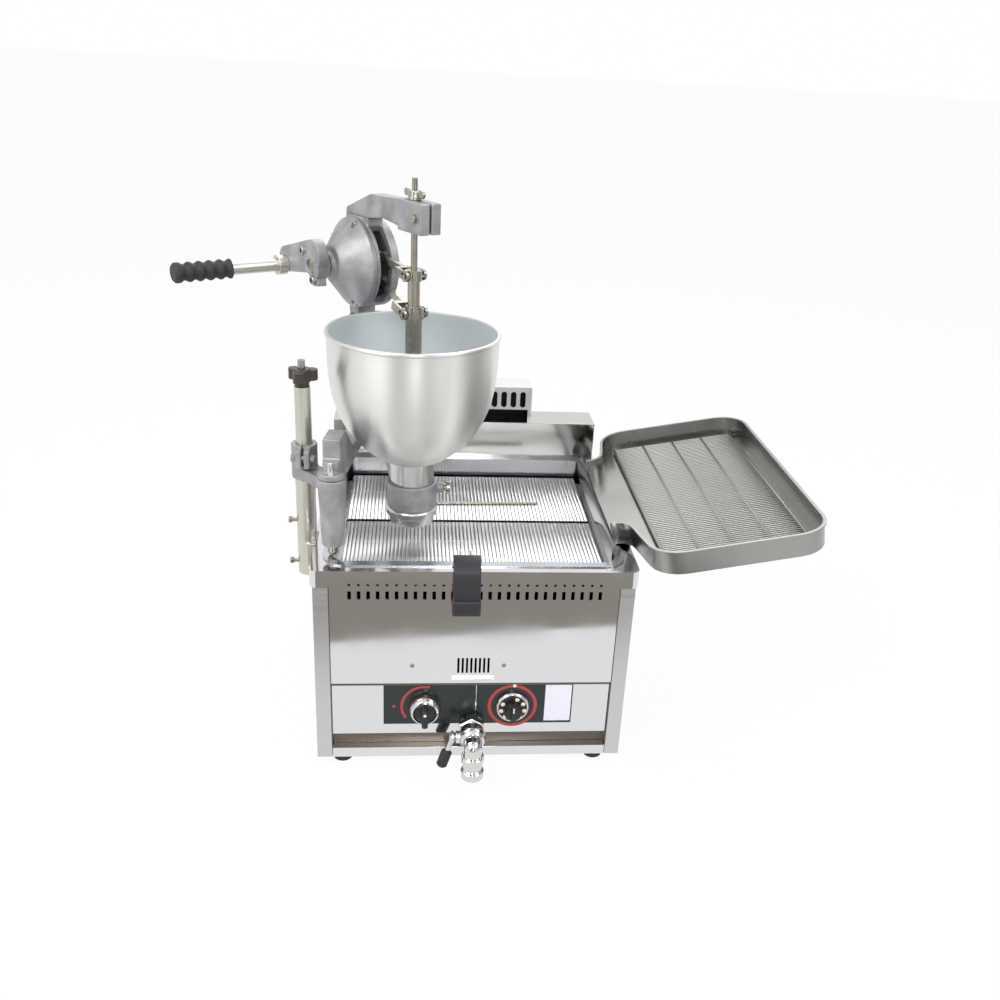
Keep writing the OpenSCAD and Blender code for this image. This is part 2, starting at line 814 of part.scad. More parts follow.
// Sleeved lever that turns the ball
module drain_lever() {
    x0 = -ball_r - 13 - clear;
    color("#1d1d1d")
        difference() {
            union() {
                translate([x0 - 8, valve_y, drain_z]) rotate([0, 90, 0]) cylinder(h = 8, r = 9);
                translate([x0 - 7, valve_y - 6, drain_z - lever_drop + 8]) cube([5, 12, lever_drop - 8]);
                translate([x0 - 4.5, valve_y, drain_z - lever_drop]) cylinder(h = lever_drop - 16, r = 8);
            }
            translate([x0 - 9, valve_y, drain_z]) rotate([0, 90, 0]) cylinder(h = 10, r = stem_r + fit);
        }
}

// Wire screen of length l: upright-round wires on flat cross rods, its front edge at y0
module wire_screen(y0, l) {
    n = floor((screen_w - rod_w) / wire_pitch);
    rods = 4;
    for (i = [0 : n])
        translate([(i - n / 2) * wire_pitch, y0, rail_top + rod_w + 0.6 * wire_r])
            rotate([-90, 0, 0]) cylinder(h = l, r = wire_r, $fn = 8);
    for (i = [0 : rods - 1])
        translate([-screen_w / 2, y0 + i * (l - rod_w) / (rods - 1), rail_top])
            cube([screen_w, rod_w, rod_w]);
}

// Front frying screen
module front_screen() {
    color("#c9c9cc") wire_screen(screen_y0, screen_front_l);
}

// Back frying screen
module back_screen() {
    color("#c9c9cc") wire_screen(screen_y0 + screen_front_l + screen_split, screen_back_l);
}

// Two wires from the front screen up to the lifter grip
module lifter_wires() {
    wy = screen_y0;
    top = flange_top + 11;
    color("#b5b5b5")
        for (s = [-1, 1]) {
            x = lifter_x + s * lifter_wires_w / 2;
            bent_bar([[x, wy - 4, rail_top], [x, wy - 4, top], [x, front + 16, top]], lifter_wire_r);
            translate([x - 1.5, wy - 4, rail_top + 0.5]) cube([3, 4, 4]);
        }
}

// Plastic grip that hooks over the front of the rim
module lifter_grip() {
    top = flange_top + 17;
    y1 = front + 16;
    y0 = front - 16;
    low = rim_z - lifter_drop;
    color("#4a4a50")
        translate([lifter_x - lifter_w / 2, 0, 0])
            rotate([90, 0, 90])
                linear_extrude(lifter_w)
                    polygon([
                        [y1, top - 12], [y1, top], [front - 2, top - 2], [y0 + 3, top - 10], [y0, top - 20],
                        [y0 - 2, low + 18], [y0, low], [y0 + 10, low], [y0 + 12, top - 22],
                        [front - 2, top - 12]
                    ]);
}

// Place along the tray where a chute wall that starts at a half width has reached the tray's width
function flare_end(half) = let(
    bends = chute_bend + tray_corner,
    straight = (tray_w / 2 - half - bends * (1 - cos(chute_turn))) / sin(chute_turn)
) chute_run + bends * sin(chute_turn) + straight * cos(chute_turn);

// Chute wall from a half width to the tray's own, as two bends with a straight between, o inwards
function flare(half, o) = let(
    start = [chute_run, half + chute_bend],
    end = [flare_end(half), tray_w / 2 - tray_corner]
) concat(
    [for (i = [0 : 5]) let(a = chute_turn * i / 5) start + (chute_bend + o) * [sin(a), -cos(a)]],
    [for (i = [5 : -1 : 0]) let(a = chute_turn * i / 5) end + (tray_corner - o) * [-sin(a), cos(a)]]
);

// Plan outline of the tray, o inwards, narrowing to the chute at x = x0
function tray_outline(o, x0) = let(
    hw = tray_w / 2 - o,
    x1 = tray_len - o,
    r = tray_corner - o,
    back_wall = flare(chute_back, o)
) concat(
    [[x0, -chute_front + o]],
    [for (p = flare(chute_front, o)) [p[0], -p[1]]],
    [for (a = [-90 : 15 : 0]) [x1 - r + r * cos(a), -hw + r + r * sin(a)]],
    [for (a = [0 : 15 : 90]) [x1 - r + r * cos(a), hw - r + r * sin(a)]],
    [for (i = [len(back_wall) - 1 : -1 : 0]) back_wall[i]],
    [[x0, chute_back - o]]
);

// Sloping draining tray with its chute, hook and hanger
module drain_tray() {
    rim = tray_wall + sheet;
    hook_x = pan_w / 2 - 3.5;
    hang_x = half_rim + clear;
    color("#a9aaa6") {
        at_tray() difference() {
            union() {
                linear_extrude(rim) polygon(tray_outline(0, 0));
                translate([0, 0, rim - 4]) linear_extrude(4) polygon(tray_outline(-2.5, 2));
            }
            translate([0, 0, sheet]) linear_extrude(rim) polygon(tray_outline(sheet, -1));
        }
        translate([hook_x, hook_y1, flange_top + 0.4]) rotate([90, 0, 0])
            linear_extrude(hook_y1 - hook_y0)
                polygon([
                    [0, -hook_drop], [0, hook_ridge - 8], [4, hook_ridge], [6, hook_ridge],
                    [10, hook_ridge - 8], [10, 0], [sheet, 0], [sheet, -hook_drop]
                ]);
        translate([hang_x, tray_mid - chute_front + 6, rim_z - band_h - 6])
            cube([sheet, chute_front + chute_back - 12,
                  tray_z + (hang_x - tray_x) * tan(tray_tilt) + 1.2 - rim_z + band_h + 6]);
    }
}

// Wire rack that stands in the tray
module tray_rack() {
    x0 = flare_end(chute_front) - 26;
    x1 = tray_len - 19;
    half = tray_w / 2 - 15;
    z0 = sheet + 0.3;
    n = floor(2 * half / rack_pitch) - 1;
    color("#bdbdb8")
        at_tray() {
            for (i = [0 : rack_rods - 1])
                translate([x0 + i * (x1 - x0 - rod_w) / (rack_rods - 1), -half, z0])
                    cube([rod_w, 2 * half, rod_w]);
            for (i = [0 : n])
                translate([x0, (i - n / 2) * rack_pitch, z0 + rod_w + 0.6 * wire_r])
                    rotate([0, 90, 0]) cylinder(h = x1 - x0, r = wire_r, $fn = 8);
        }
}

// Bracket on the left wall that holds the post
module post_bracket() {
    low = bracket_top - bracket_h;
    color("#a2a2a4")
        difference() {
            union() {
                translate([post_x, post_y, low]) cylinder(h = bracket_h, r = post_r + 3);
                translate([post_x, post_y - 16, low]) cube([-wall_x - post_x, 32, rim_z - low]);
                translate([post_x, post_y - 9, low]) cube([-wall_x - post_x - 2, 18, bracket_h]);
            }
            translate([-wall_x, post_y - 40, low - 1]) cube([40, 80, bracket_h + 2]);
            translate([post_x, post_y, low + 10]) cylinder(h = bracket_h, r = post_r + fit);
            for (z = [low + 18, low + 83])
                translate([post_x - 40, post_y, z]) rotate([0, 90, 0]) cylinder(h = 40, r = bolt_r + fit);
        }
}

// Two set screws that pin the post in its bracket
module set_screws() {
    low = bracket_top - bracket_h;
    color("#8f8b80")
        for (z = [low + 18, low + 83])
            translate([post_x - post_r - 0.3, post_y, z]) rotate([0, -90, 0]) {
                cylinder(h = 10, r = bolt_r);
                translate([0, 0, 9]) cylinder(h = 5, r = 5, $fn = 6);
            }
}

// Hollow post with a slot for the lifting pin
module post() {
    foot = bracket_top - bracket_h + 10;
    slot_half = bolt_r + 0.3;
    color("#b3b0a6")
        difference() {
            translate([post_x, post_y, foot]) cylinder(h = post_top - foot, r = post_r);
            translate([post_x, post_y, bracket_top - 20]) cylinder(h = post_top, r = screw_r + 3);
            translate([post_x - slot_half, post_y, lift_pin_z - bolt_r - 1])
                cube([2 * slot_half, 20, lift_travel + 2 * bolt_r + 2]);
        }
}

// Lifting screw inside the post
module lift_screw() {
    color("#a09c90")
        translate([post_x, post_y, bracket_top - 15])
            cylinder(h = post_top + 36 - bracket_top + 15, r = screw_r);
}

// Three-lobed hand knob on the lifting screw
module post_knob() {
    color("#2b2723")
        difference() {
            translate([post_x, post_y, post_top + 0.3]) {
                cylinder(h = 10, r = post_r - 1);
                translate([0, 0, 6]) cylinder(h = 18, r = 12);
                for (a = [20, 140, 260])
                    rotate([0, 0, a]) translate([14, 0, 7.5]) cylinder(h = 15, r = lobe_r);
            }
            translate([post_x, post_y, post_top - 1]) cylinder(h = 40, r = screw_r + fit);
        }
}

// Nut on the lifting screw, with the pin that carries the clamp casting
module traveller() {
    color("#b08d57")
        difference() {
            union() {
                translate([post_x, post_y, lift_pin_z - 8]) cylinder(h = 16, r = screw_r + 2.7);
                translate([post_x, post_y, lift_pin_z]) rotate([-90, 0, 0])
                    cylinder(h = post_r + 8, r = bolt_r);
            }
            translate([post_x, post_y, lift_pin_z - 9]) cylinder(h = 18, r = screw_r + fit);
        }
}

// Clamp casting: split boss on the post, bridged to the tapered swing socket
module clamp_casting() {
    low = bracket_top + 0.3;
    boss_h = 50;
    run = [pivot_x - post_x, pivot_y - post_y];
    color("#9b9b9f")
        difference() {
            union() {
                translate([post_x, post_y, low]) cylinder(h = boss_h, r = boss_r);
                translate([post_x - 10, post_y - boss_r - 13, low + 22]) cube([20, 24, boss_h - 24]);
                translate([post_x, post_y, low]) rotate([0, 0, atan2(run[1], run[0])])
                    translate([0, -14, 1.5]) cube([norm(run) - 2, 28, socket_top - low - 3]);
                translate([pivot_x, pivot_y, socket_top - socket_h])
                    cylinder(h = socket_h, r1 = socket_foot_r, r2 = socket_r);
            }
            translate([post_x, post_y, low - 1]) cylinder(h = boss_h + 2, r = post_r + fit);
            translate([post_x - 2, post_y - boss_r - 14, low + 21]) cube([4, boss_r + 14, boss_h]);
            translate([post_x, post_y, lift_pin_z]) rotate([-90, 0, 0])
                cylinder(h = boss_r + 1, r = bolt_r + fit);
            translate([post_x - 20, post_y - boss_r - 6, low + 36]) rotate([0, 90, 0])
                cylinder(h = 40, r = bolt_r + fit);
            translate([pivot_x, pivot_y, socket_top - socket_h - 1])
                cylinder(h = socket_h + 2, r = shaft_r + fit);
        }
}

// Bolt that draws the split boss together
module clamp_bolt() {
    z = bracket_top + 0.3 + 36;
    y = post_y - boss_r - 6;
    color("#8f8b80")
        translate([post_x - 16, y, z]) rotate([0, 90, 0]) {
            cylinder(h = 32, r = bolt_r);
            cylinder(h = 5.7, r = 5.5, $fn = 6);
            translate([0, 0, 26.3]) cylinder(h = 5, r = 5.5, $fn = 6);
        }
}

// Swing shaft that turns in the socket
module swing_shaft() {
    low = socket_top - socket_h - 15;
    color("#c4c1b8")
        translate([pivot_x, pivot_y, low]) {
            cylinder(h = 4, r1 = shaft_r - 2, r2 = shaft_r);
            translate([0, 0, 4]) cylinder(h = socket_top + 20 - low - 4, r = shaft_r);
        }
}

// Cast frame: hub on the swing shaft, arm, column, web and neck ring
module depositor_frame() {
    low_start = 52;
    arm_low = socket_top - 14;
    web_end = -column_u - 6;
    color("#98989c")
        at_head() difference() {
            union() {
                translate([pivot_u, pivot_v, socket_top + 0.5]) {
                    cylinder(h = 9, r = socket_r - 1);
                    cylinder(h = 25, r = shaft_r + 4);
                }
                translate([pivot_u, pivot_v, 0]) rotate([0, 0, arm_turn]) {
                    translate([3, -arm_half, socket_top + 1.5])
                        cube([arm_span - 3, 2 * arm_half, arm_top - socket_top - 1.5]);
                    translate([low_start, -arm_half + 2, arm_low])
                        cube([arm_span - low_start - 2, 2 * arm_half - 4, arm_top - arm_low - 3]);
                }
                translate([pivot_u, pivot_v, 0]) rotate([0, 0, arm_turn])
                    head_plate(-arm_half + 1, arm_half - 1)
                        polygon([[1, arm_top - 6], [1, gusset_top], [42, gusset_top], [100, arm_top - 4]]);
                translate([column_u, 0, arm_low - 3])
                    linear_extrude(column_top - arm_low + 3)
                        round_rect(2 * column_half[0], 2 * column_half[1], 6);
                translate([0, 0, ring_low]) cylinder(h = ring_top - ring_low, r = neck_r + 5);
                rotate([0, 0, 180]) head_plate(-9, 9)
                    polygon([
                        [neck_r + 2, ring_low + 3], [neck_r + 2, ring_top - 5], [neck_r + 18, arm_low - 2],
                        [web_end, arm_top - 9], [web_end, arm_low + 2], [neck_r + 38, arm_low - 14],
                        [neck_r + 18, ring_low + 22]
                    ]);
                rotate([0, 0, -head_yaw]) translate([neck_r, 0, (ring_top + ring_low) / 2 + 8])
                    rotate([0, 90, 0]) cylinder(h = 15, r = 8);
            }
            translate([pivot_u, pivot_v, socket_top - 1]) cylinder(h = 22, r = shaft_r + fit);
            translate([0, 0, ring_low - 1]) cylinder(h = ring_top - ring_low + 2, r = neck_r + fit);
            rotate([0, 0, -head_yaw]) translate([neck_r - 4, 0, (ring_top + ring_low) / 2 + 8])
                rotate([0, 90, 0]) cylinder(h = 30, r = bolt_r + fit);
        }
}

// Bowl height and radius at a share s of its height
function bowl(s) = [
    neck_r + (hop_rim_r - neck_r) * pow(1 - pow(1 - s, 3.2), 0.784),
    hop_foot_z + s * (hop_rim_z - hop_foot_z)
];
// Point w inside the bowl's skin
function bowl_inner(s, w) = let(
    t = bowl(min(1, s + 0.004)) - bowl(max(0, s - 0.004)),
    n = t / norm(t)
) bowl(s) + w * [-n[1], n[0]];

// Spun hopper with a rolled rim
module hopper() {
    steps = 16;
    shares = [for (i = [0 : steps]) pow(i / steps, 1.8)];
    outer = [for (s = shares) bowl(s)];
    inner = [for (i = [steps : -1 : 2]) bowl_inner(shares[i], 2)];
    color("#c9cac8")
        at_head() rotate_extrude() {
            polygon(concat([[bore_r, hop_foot_z]], outer, inner, [[bore_r, hop_foot_z + 2]]));
            translate([hop_rim_r, hop_rim_z]) circle(3);
        }
}

// Bright neck cylinder under the bowl
module neck_cylinder() {
    color("#d0d0d0")
        at_head() difference() {
            translate([0, 0, ring_low]) cylinder(h = hop_foot_z - ring_low, r = neck_r);
            translate([0, 0, ring_low - 1]) cylinder(h = hop_foot_z - ring_low + 2, r = bore_r);
        }
}

// Knurled screw that holds the neck cylinder in its ring
module thumb_screw() {
    color("#8d8a84")
        at_head() rotate([0, 0, -head_yaw])
            translate([neck_r + 0.4, 0, (ring_top + ring_low) / 2 + 8])
                rotate([0, 90, 0]) {
                    cylinder(h = 18, r = bolt_r);
                    translate([0, 0, 15.2]) cylinder(h = 4, r = 6);
                    translate([0, 0, 18]) cylinder(h = 6, r = 10);
                }
}

// Nozzle ring under the neck
module nozzle_ring() {
    mid = nozzle_z + 12;
    color("#bfbfc1")
        at_head() rotate_extrude()
            polygon([
                [bore_r, nozzle_z], [neck_r - 1, nozzle_z], [neck_r + 1, nozzle_z + 2], [neck_r + 1, mid],
                [neck_r + 6, mid + 2], [neck_r + 6, ring_low - 3], [neck_r + 3, ring_low], [bore_r, ring_low]
            ]);
}

// Outer sleeve with its piston
module outer_sleeve() {
    low = nozzle_z + 8;
    color("#aaa698")
        at_head() difference() {
            union() {
                translate([0, 0, low]) cylinder(h = lower_pin_z + 10 - low, r = sleeve_r);
                translate([0, 0, low]) cylinder(h = 12, r = bore_r - 0.1);
            }
            translate([0, 0, low - 1]) cylinder(h = lower_pin_z - low + 20, r = inner_r + fit);
        }
}

// Collar with cross pins, round a rod of radius r
module pin_collar(z, r) {
    difference() {
        union() {
            translate([0, 0, z - collar_h / 2]) cylinder(h = collar_h, r = r + 3);
            across(0, z, -r - 8, r + 8, pin_r);
        }
        translate([0, 0, z - collar_h]) cylinder(h = 2 * collar_h, r = r + fit);
    }
}

// Collar of the outer sleeve
module lower_collar() {
    color("#a29e92") at_head() pin_collar(lower_pin_z, sleeve_r);
}

// Collar of the inner rod
module upper_collar() {
    color("#a29e92") at_head() pin_collar(upper_pin_z, inner_r);
}

// Inner rod with the cutting disc below and the stroke thread above
module inner_plunger() {
    low = nozzle_z + 2;
    step = upper_pin_z + collar_h / 2;
    color("#aaa698")
        at_head() {
            translate([0, 0, low]) cylinder(h = 5.5, r = disc_r);
            translate([0, 0, low + 5]) cylinder(h = step - low - 5, r = inner_r);
            translate([0, 0, step - 1]) cylinder(h = guide_top - step + 1, r = guide_r);
            translate([0, 0, guide_top - 1]) cylinder(h = 29, r = guide_r - 0.5);
        }
}

// Forked lever from a pivot to a collar, tilted down by an angle
module fork_lever(pivot_z, angle, half) {
    reach = lever_len / cos(angle);
    translate([-lever_len, 0, pivot_z]) rotate([0, angle, 0])
        difference() {
            union() {
                across(0, 0, -3, 3, pivot_r + 4.5);
                translate([0, -3, -5]) cube([reach - half - 8, 6, 10]);
                translate([reach - half - 14, -half - 4, -6]) cube([8, 2 * half + 8, 12]);
                for (s = [0, 1]) mirror([0, s, 0]) {
                    translate([reach - half - 8, half, -6]) cube([half + 8, 4, 12]);
                    across(reach, 0, half, half + 4, 8);
                }
            }
            across(0, 0, -4, 4, pivot_r + fit);
            for (e = [-5, 3]) across(reach + e, 0, -half - 5, half + 5, pin_r + 0.7);
            translate([reach - 5, -half - 5, -pin_r - 0.7]) cube([8, 2 * half + 10, 2 * pin_r + 1.4]);
        }
}

// Lever that works the inner rod
module upper_lever() {
    color("#a5a196") at_head() fork_lever(upper_pivot_z, upper_angle, inner_r + 3.4);
}

// Lever that works the outer sleeve
module lower_lever() {
    color("#a5a196") at_head() fork_lever(lower_pivot_z, lower_angle, sleeve_r + 3.4);
}

// Angles of the cover bolts round the housing, clear of the lever slot
cover_bolt_angles = [75, 150, 210, 285];
cover_bolt_r = drum_r - drum_rim / 2;
cover_bolt = 2.5;
cover_head = 4.5;
cover_seat = 7;

// Back half of the cam housing: plate, slotted rim, lugs and lever pins
module housing_back() {
    color("#97979b")
        at_head() {
            difference() {
                union() {
                    across(-drum_u, drum_z, -inside, half_t, drum_r);
                    translate([column_u - 13, clear - inside, column_top])
                        cube([26, inside - clear + 16, drum_z - drum_r * 0.8 - column_top]);
                    translate([-drum_u - 32, -arm_t / 2, drum_z + drum_r - 14])
                        cube([64, arm_t, arm_foot - drum_z - drum_r + 14]);
                }
                across(-drum_u, drum_z, -inside - 20, inside, drum_r - drum_rim);
                across(-drum_u, drum_z, inside - 1, half_t - 2, crank_r + fit);
                for (a = [-52 : 13 : 52])
                    translate([-drum_u, 0, drum_z]) rotate([0, -a, 0])
                        translate([drum_r / 2, -slot_gap / 2, -9]) cube([drum_r, slot_gap, 18]);
                for (a = cover_bolt_angles)
                    translate([-drum_u, 0, drum_z]) rotate([0, -a, 0])
                        across(cover_bolt_r, 0, -inside - 1, inside - 2, cover_bolt + fit);
                for (u = [-drum_u - 22, -drum_u + 22])
                    translate([u, 0, arm_foot - 12]) cylinder(h = 13, r = bolt_r + fit);
            }
            across(-lever_len, upper_pivot_z, -4, inside + 1, pivot_r);
            across(-lever_len, lower_pivot_z, -4, inside + 1, pivot_r);
        }
}

// Conical front cover with the crank bearing
module housing_cover() {
    color("#a0a0a4")
        at_head() difference() {
            translate([-drum_u, -inside, drum_z]) rotate([90, 0, 0])
                rotate_extrude()
                    polygon([
                        [crank_r + fit, 0], [drum_r, 0], [drum_r, 7], [drum_r - 3, 10],
                        [crank_r + 17, cone_end - inside], [crank_r + 9, cone_end - inside + 2],
                        [crank_r + 8, neck_end - inside], [crank_r + fit, neck_end - inside]
                    ]);
            for (a = cover_bolt_angles)
                translate([-drum_u, 0, drum_z]) rotate([0, -a, 0]) {
                    across(cover_bolt_r, 0, -half_t - 10, 0, cover_bolt + fit);
                    across(cover_bolt_r, 0, -cone_end, -inside - cover_seat, cover_head + clear);
                }
        }
}

// Cam on the crank shaft
module cam_disc() {
    color("#7f7c76")
        at_head() difference() {
            union() {
                across(-drum_u - 5, drum_z, -inside + 0.5, -inside + 7, drum_r - drum_rim - 8);
                across(-drum_u, drum_z, -inside + 0.5, -inside + 9, crank_r + 7);
            }
            across(-drum_u, drum_z, -inside - 1, 0, crank_r + fit);
        }
}

// Crank shaft through the housing
module crank_shaft() {
    color("#b7b4ab") at_head() across(-drum_u, drum_z, -crank_face + 8, half_t - 2.3, crank_r);
}

// Crank arm: clamped hub, wedge-shaped web and handle boss
module crank_arm() {
    color("#9c9ca0")
        at_head() translate([-drum_u, 0, drum_z]) rotate([0, -crank_drop, 0])
            difference() {
                union() {
                    across(0, 0, -crank_face + 10, -crank_hub, crank_r + 10);
                    hull() {
                        across(2, 13, -crank_face + 9, -crank_hub - 5, crank_r + 14, $fn = 32);
                        across(-crank_len, 8, -crank_face, -crank_hub - 12, handle_r + 9, $fn = 32);
                    }
                    translate([-7, -crank_face + 12, -crank_r - 20]) cube([14, 15, 22]);
                }
                across(0, 0, -crank_face - 1, 0, crank_r + fit);
                across(-crank_len, 0, -crank_face - 1, -crank_hub, handle_r + fit);
                translate([-1.5, -crank_face + 8, -crank_r - 21]) cube([3, 27, 22]);
            }
}

// Place of the handle axis at rest
module at_handle() {
    at_head() translate([-drum_u, 0, drum_z]) rotate([0, -crank_drop, 0])
        translate([-crank_len, 0, 0]) children();
}

// Chrome handle rod
module handle_rod() {
    color("#bdbab2") at_handle() across(0, 0, -handle_end + 4, -crank_hub - 15, handle_r);
}

// Lock nut on the handle rod
module lock_nut() {
    color("#c4c1b6")
        at_handle() difference() {
            across(0, 0, -crank_face - 14, -crank_face, handle_r + 5);
            across(0, 0, -crank_face - 15, -crank_face + 1, handle_r + fit);
        }
}

// Ribbed rubber grip
module grip() {
    start = handle_end - grip_len;
    step = (grip_len - 8) / bump_n;
    ribs = [for (i = [0 : bump_n * 8]) [
        grip_r - 1.5 + 1.5 * cos(360 * i / 8),
        i * step / 8
    ]];
    color("#2a2a2a")
        at_handle() translate([0, -start, 0]) rotate([90, 0, 0])
            rotate_extrude()
                polygon(concat(
                    [[handle_r + fit, 0]], ribs,
                    [[grip_r, grip_len - 3], [grip_r - 3, grip_len], [0, grip_len], [0, grip_len - 3.7],
                     [handle_r + fit, grip_len - 3.7]]
                ));
}

// Top arm with the split guide for the rod
module top_arm() {
    tip = arm_foot + 34;
    color("#a3a3a7")
        at_head() difference() {
            union() {
                head_plate(-arm_t / 2, arm_t / 2)
                    polygon([
                        [-drum_u - 32, arm_foot], [-drum_u - 30, arm_foot + 8], [-drum_u + 38, tip],
                        [-10, guide_top - 1], [-10, guide_low + 2], [-62, arm_foot + 6],
                        [-drum_u + 44, arm_foot + 2], [-drum_u + 32, arm_foot]
                    ]);
                translate([-18, -arm_t / 2 - 4, guide_low]) cube([58, arm_t + 8, guide_top - guide_low]);
            }
            translate([0, 0, guide_low - 1]) cylinder(h = guide_top - guide_low + 2, r = guide_r + fit);
            translate([0, -1.5, guide_low - 1]) cube([41, 3, guide_top - guide_low + 2]);
            across(26, arm_foot + 19, -arm_t, arm_t, bolt_r + fit);
            for (u = [-drum_u - 22, -drum_u + 22])
                translate([u, 0, arm_foot - 1]) cylinder(h = 60, r = bolt_r + fit);
            translate([-drum_u + 22, 0, arm_foot + 12]) cylinder(h = 60, r = 6.2);
            translate([-drum_u - 22, 0, arm_foot + 5]) cylinder(h = 60, r = 6.2);
        }
}

// Wing nut that sets the stroke
module stroke_nut() {
    z0 = guide_top + 0.4;
    color("#b0aca2")
        at_head() difference() {
            union() {
                translate([0, 0, z0]) cylinder(h = 12, r1 = 10, r2 = 7.5);
                translate([-20, -2, z0 + 3]) cube([40, 4, 7]);
                for (s = [-1, 1]) across(s * 19, z0 + 8, -2, 2, 5);
            }
            translate([0, 0, z0 - 1]) cylinder(h = 20, r = guide_r - 0.5 + fit);
        }
}

// Bolts of the cover, the top arm and its guide
module housing_bolts() {
    color("#8a867c")
        at_head() {
            for (a = cover_bolt_angles)
                translate([-drum_u, 0, drum_z]) rotate([0, -a, 0]) {
                    across(cover_bolt_r, 0, -inside - cover_seat - 1, inside - 3, cover_bolt);
                    across(cover_bolt_r, 0, -inside - cover_seat - 4, -inside - cover_seat, cover_head);
                }
            translate([-drum_u - 22, 0, arm_foot - 11]) cylinder(h = 16, r = bolt_r);
            translate([-drum_u - 22, 0, arm_foot + 5]) cylinder(h = 4, r = 5.5, $fn = 6);
            translate([-drum_u + 22, 0, arm_foot - 11]) cylinder(h = 23, r = bolt_r);
            translate([-drum_u + 22, 0, arm_foot + 12]) cylinder(h = 4, r = 5.5, $fn = 6);
            across(26, arm_foot + 19, -arm_t / 2 - 8, arm_t / 2 + 8, bolt_r);
            for (s = [0, 1]) mirror([0, s, 0])
                translate([0, arm_t / 2 + 4, 0]) across(26, arm_foot + 19, 0, 4, 5.5);
        }
}

side_panels();
base_plate();
rear_panel();
front_panel();
control_panel();
rim_deck();
feet();
fry_pan();
flue_box();
chimney();
control_plates();
gas_valve();
gas_pipe();
burner();
thermostat_body();
gas_knob();
gas_bezel();
thermostat_dial();
dial_ring();
drain_pipe();
valve_body();
valve_ball();
drain_lever();
front_screen();
back_screen();
lifter_wires();
lifter_grip();
drain_tray();
tray_rack();
post_bracket();
set_screws();
post();
lift_screw();
post_knob();
traveller();
clamp_casting();
clamp_bolt();
swing_shaft();
depositor_frame();
hopper();
neck_cylinder();
thumb_screw();
nozzle_ring();
outer_sleeve();
lower_collar();
inner_plunger();
upper_collar();
upper_lever();
lower_lever();
housing_back();
housing_cover();
cam_disc();
crank_shaft();
crank_arm();
handle_rod();
lock_nut();
grip();
top_arm();
stroke_nut();
housing_bolts();
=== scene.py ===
import bpy
import json
import math
from mathutils import Matrix, Vector


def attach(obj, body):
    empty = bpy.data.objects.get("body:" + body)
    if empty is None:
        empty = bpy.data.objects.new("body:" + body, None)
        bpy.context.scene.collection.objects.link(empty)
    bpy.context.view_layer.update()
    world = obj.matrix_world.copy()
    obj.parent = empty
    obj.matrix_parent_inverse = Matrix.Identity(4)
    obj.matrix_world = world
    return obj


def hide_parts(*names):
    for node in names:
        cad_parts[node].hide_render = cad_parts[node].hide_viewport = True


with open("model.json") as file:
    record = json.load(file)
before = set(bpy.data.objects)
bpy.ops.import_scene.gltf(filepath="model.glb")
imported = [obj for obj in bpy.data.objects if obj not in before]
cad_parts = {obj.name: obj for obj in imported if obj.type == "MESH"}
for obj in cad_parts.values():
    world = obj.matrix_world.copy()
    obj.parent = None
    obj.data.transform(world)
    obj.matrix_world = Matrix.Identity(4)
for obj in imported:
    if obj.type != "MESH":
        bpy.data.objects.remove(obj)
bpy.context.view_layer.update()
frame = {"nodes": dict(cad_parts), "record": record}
nodes = frame["nodes"]
scene = bpy.context.scene
bodyOf = {n: b for b, members in frame["record"]["behaviour"]["bodies"].items() for n in members}
slotOf = {s["node"]: s["material_slot"] for s in frame["record"]["subparts"]}
mm = 0.001
print("frame loaded with", len(nodes), "nodes")

# Camera, solved from the cabinet's edges in the photo
cameraSetup = {
    "place": (-0.08799, -1.51509, 0.98973),
    "right": (0.99481, -0.08762, 0.05176),
    "up": (-0.01054, 0.41710, 0.90881),
    "lens": 37.27,  # mm
    "sensor": 36,  # mm
    "shift": (-0.01905, 0.01659),
    "clip": (0.05, 50),  # m
}


def placeCamera(setup):
    bpy.ops.object.camera_add()
    camera = bpy.context.object
    right, up = Vector(setup["right"]).normalized(), Vector(setup["up"]).normalized()
    back = right.cross(up)
    turn = Matrix((right, up, back)).transposed().to_4x4()
    camera.matrix_world = Matrix.Translation(setup["place"]) @ turn
    camera.data.sensor_fit = "HORIZONTAL"
    camera.data.sensor_width = setup["sensor"]
    camera.data.lens = setup["lens"]
    camera.data.shift_x, camera.data.shift_y = setup["shift"]
    camera.data.clip_start, camera.data.clip_end = setup["clip"]
    scene.camera = camera


placeCamera(cameraSetup)
scene.view_settings.view_transform = "Standard"


def srgb(text):
    # hex colour to linear RGBA
    parts = [int(text[i:i + 2], 16) / 255 for i in (1, 3, 5)]
    return tuple(c / 12.92 if c <= 0.04045 else ((c + 0.055) / 1.055) ** 2.4 for c in parts) + (1,)


def addNode(tree, kind, settings={}, inputs={}):
    node = tree.nodes.new(kind)
    for name, value in settings.items():
        setattr(node, name, value)
    for name, value in inputs.items():
        if isinstance(value, bpy.types.NodeSocket):
            tree.links.new(value, node.inputs[name])
        else:
            node.inputs[name].default_value = value
    return node


def newMaterial(name, colour, metallic, roughness):
    material = bpy.data.materials.new(name)
    material.use_nodes = True
    shader = material.node_tree.nodes["Principled BSDF"]
    shader.inputs["Base Color"].default_value = srgb(colour)
    shader.inputs["Metallic"].default_value = metallic
    shader.inputs["Roughness"].default_value = roughness
    return material, material.node_tree, shader


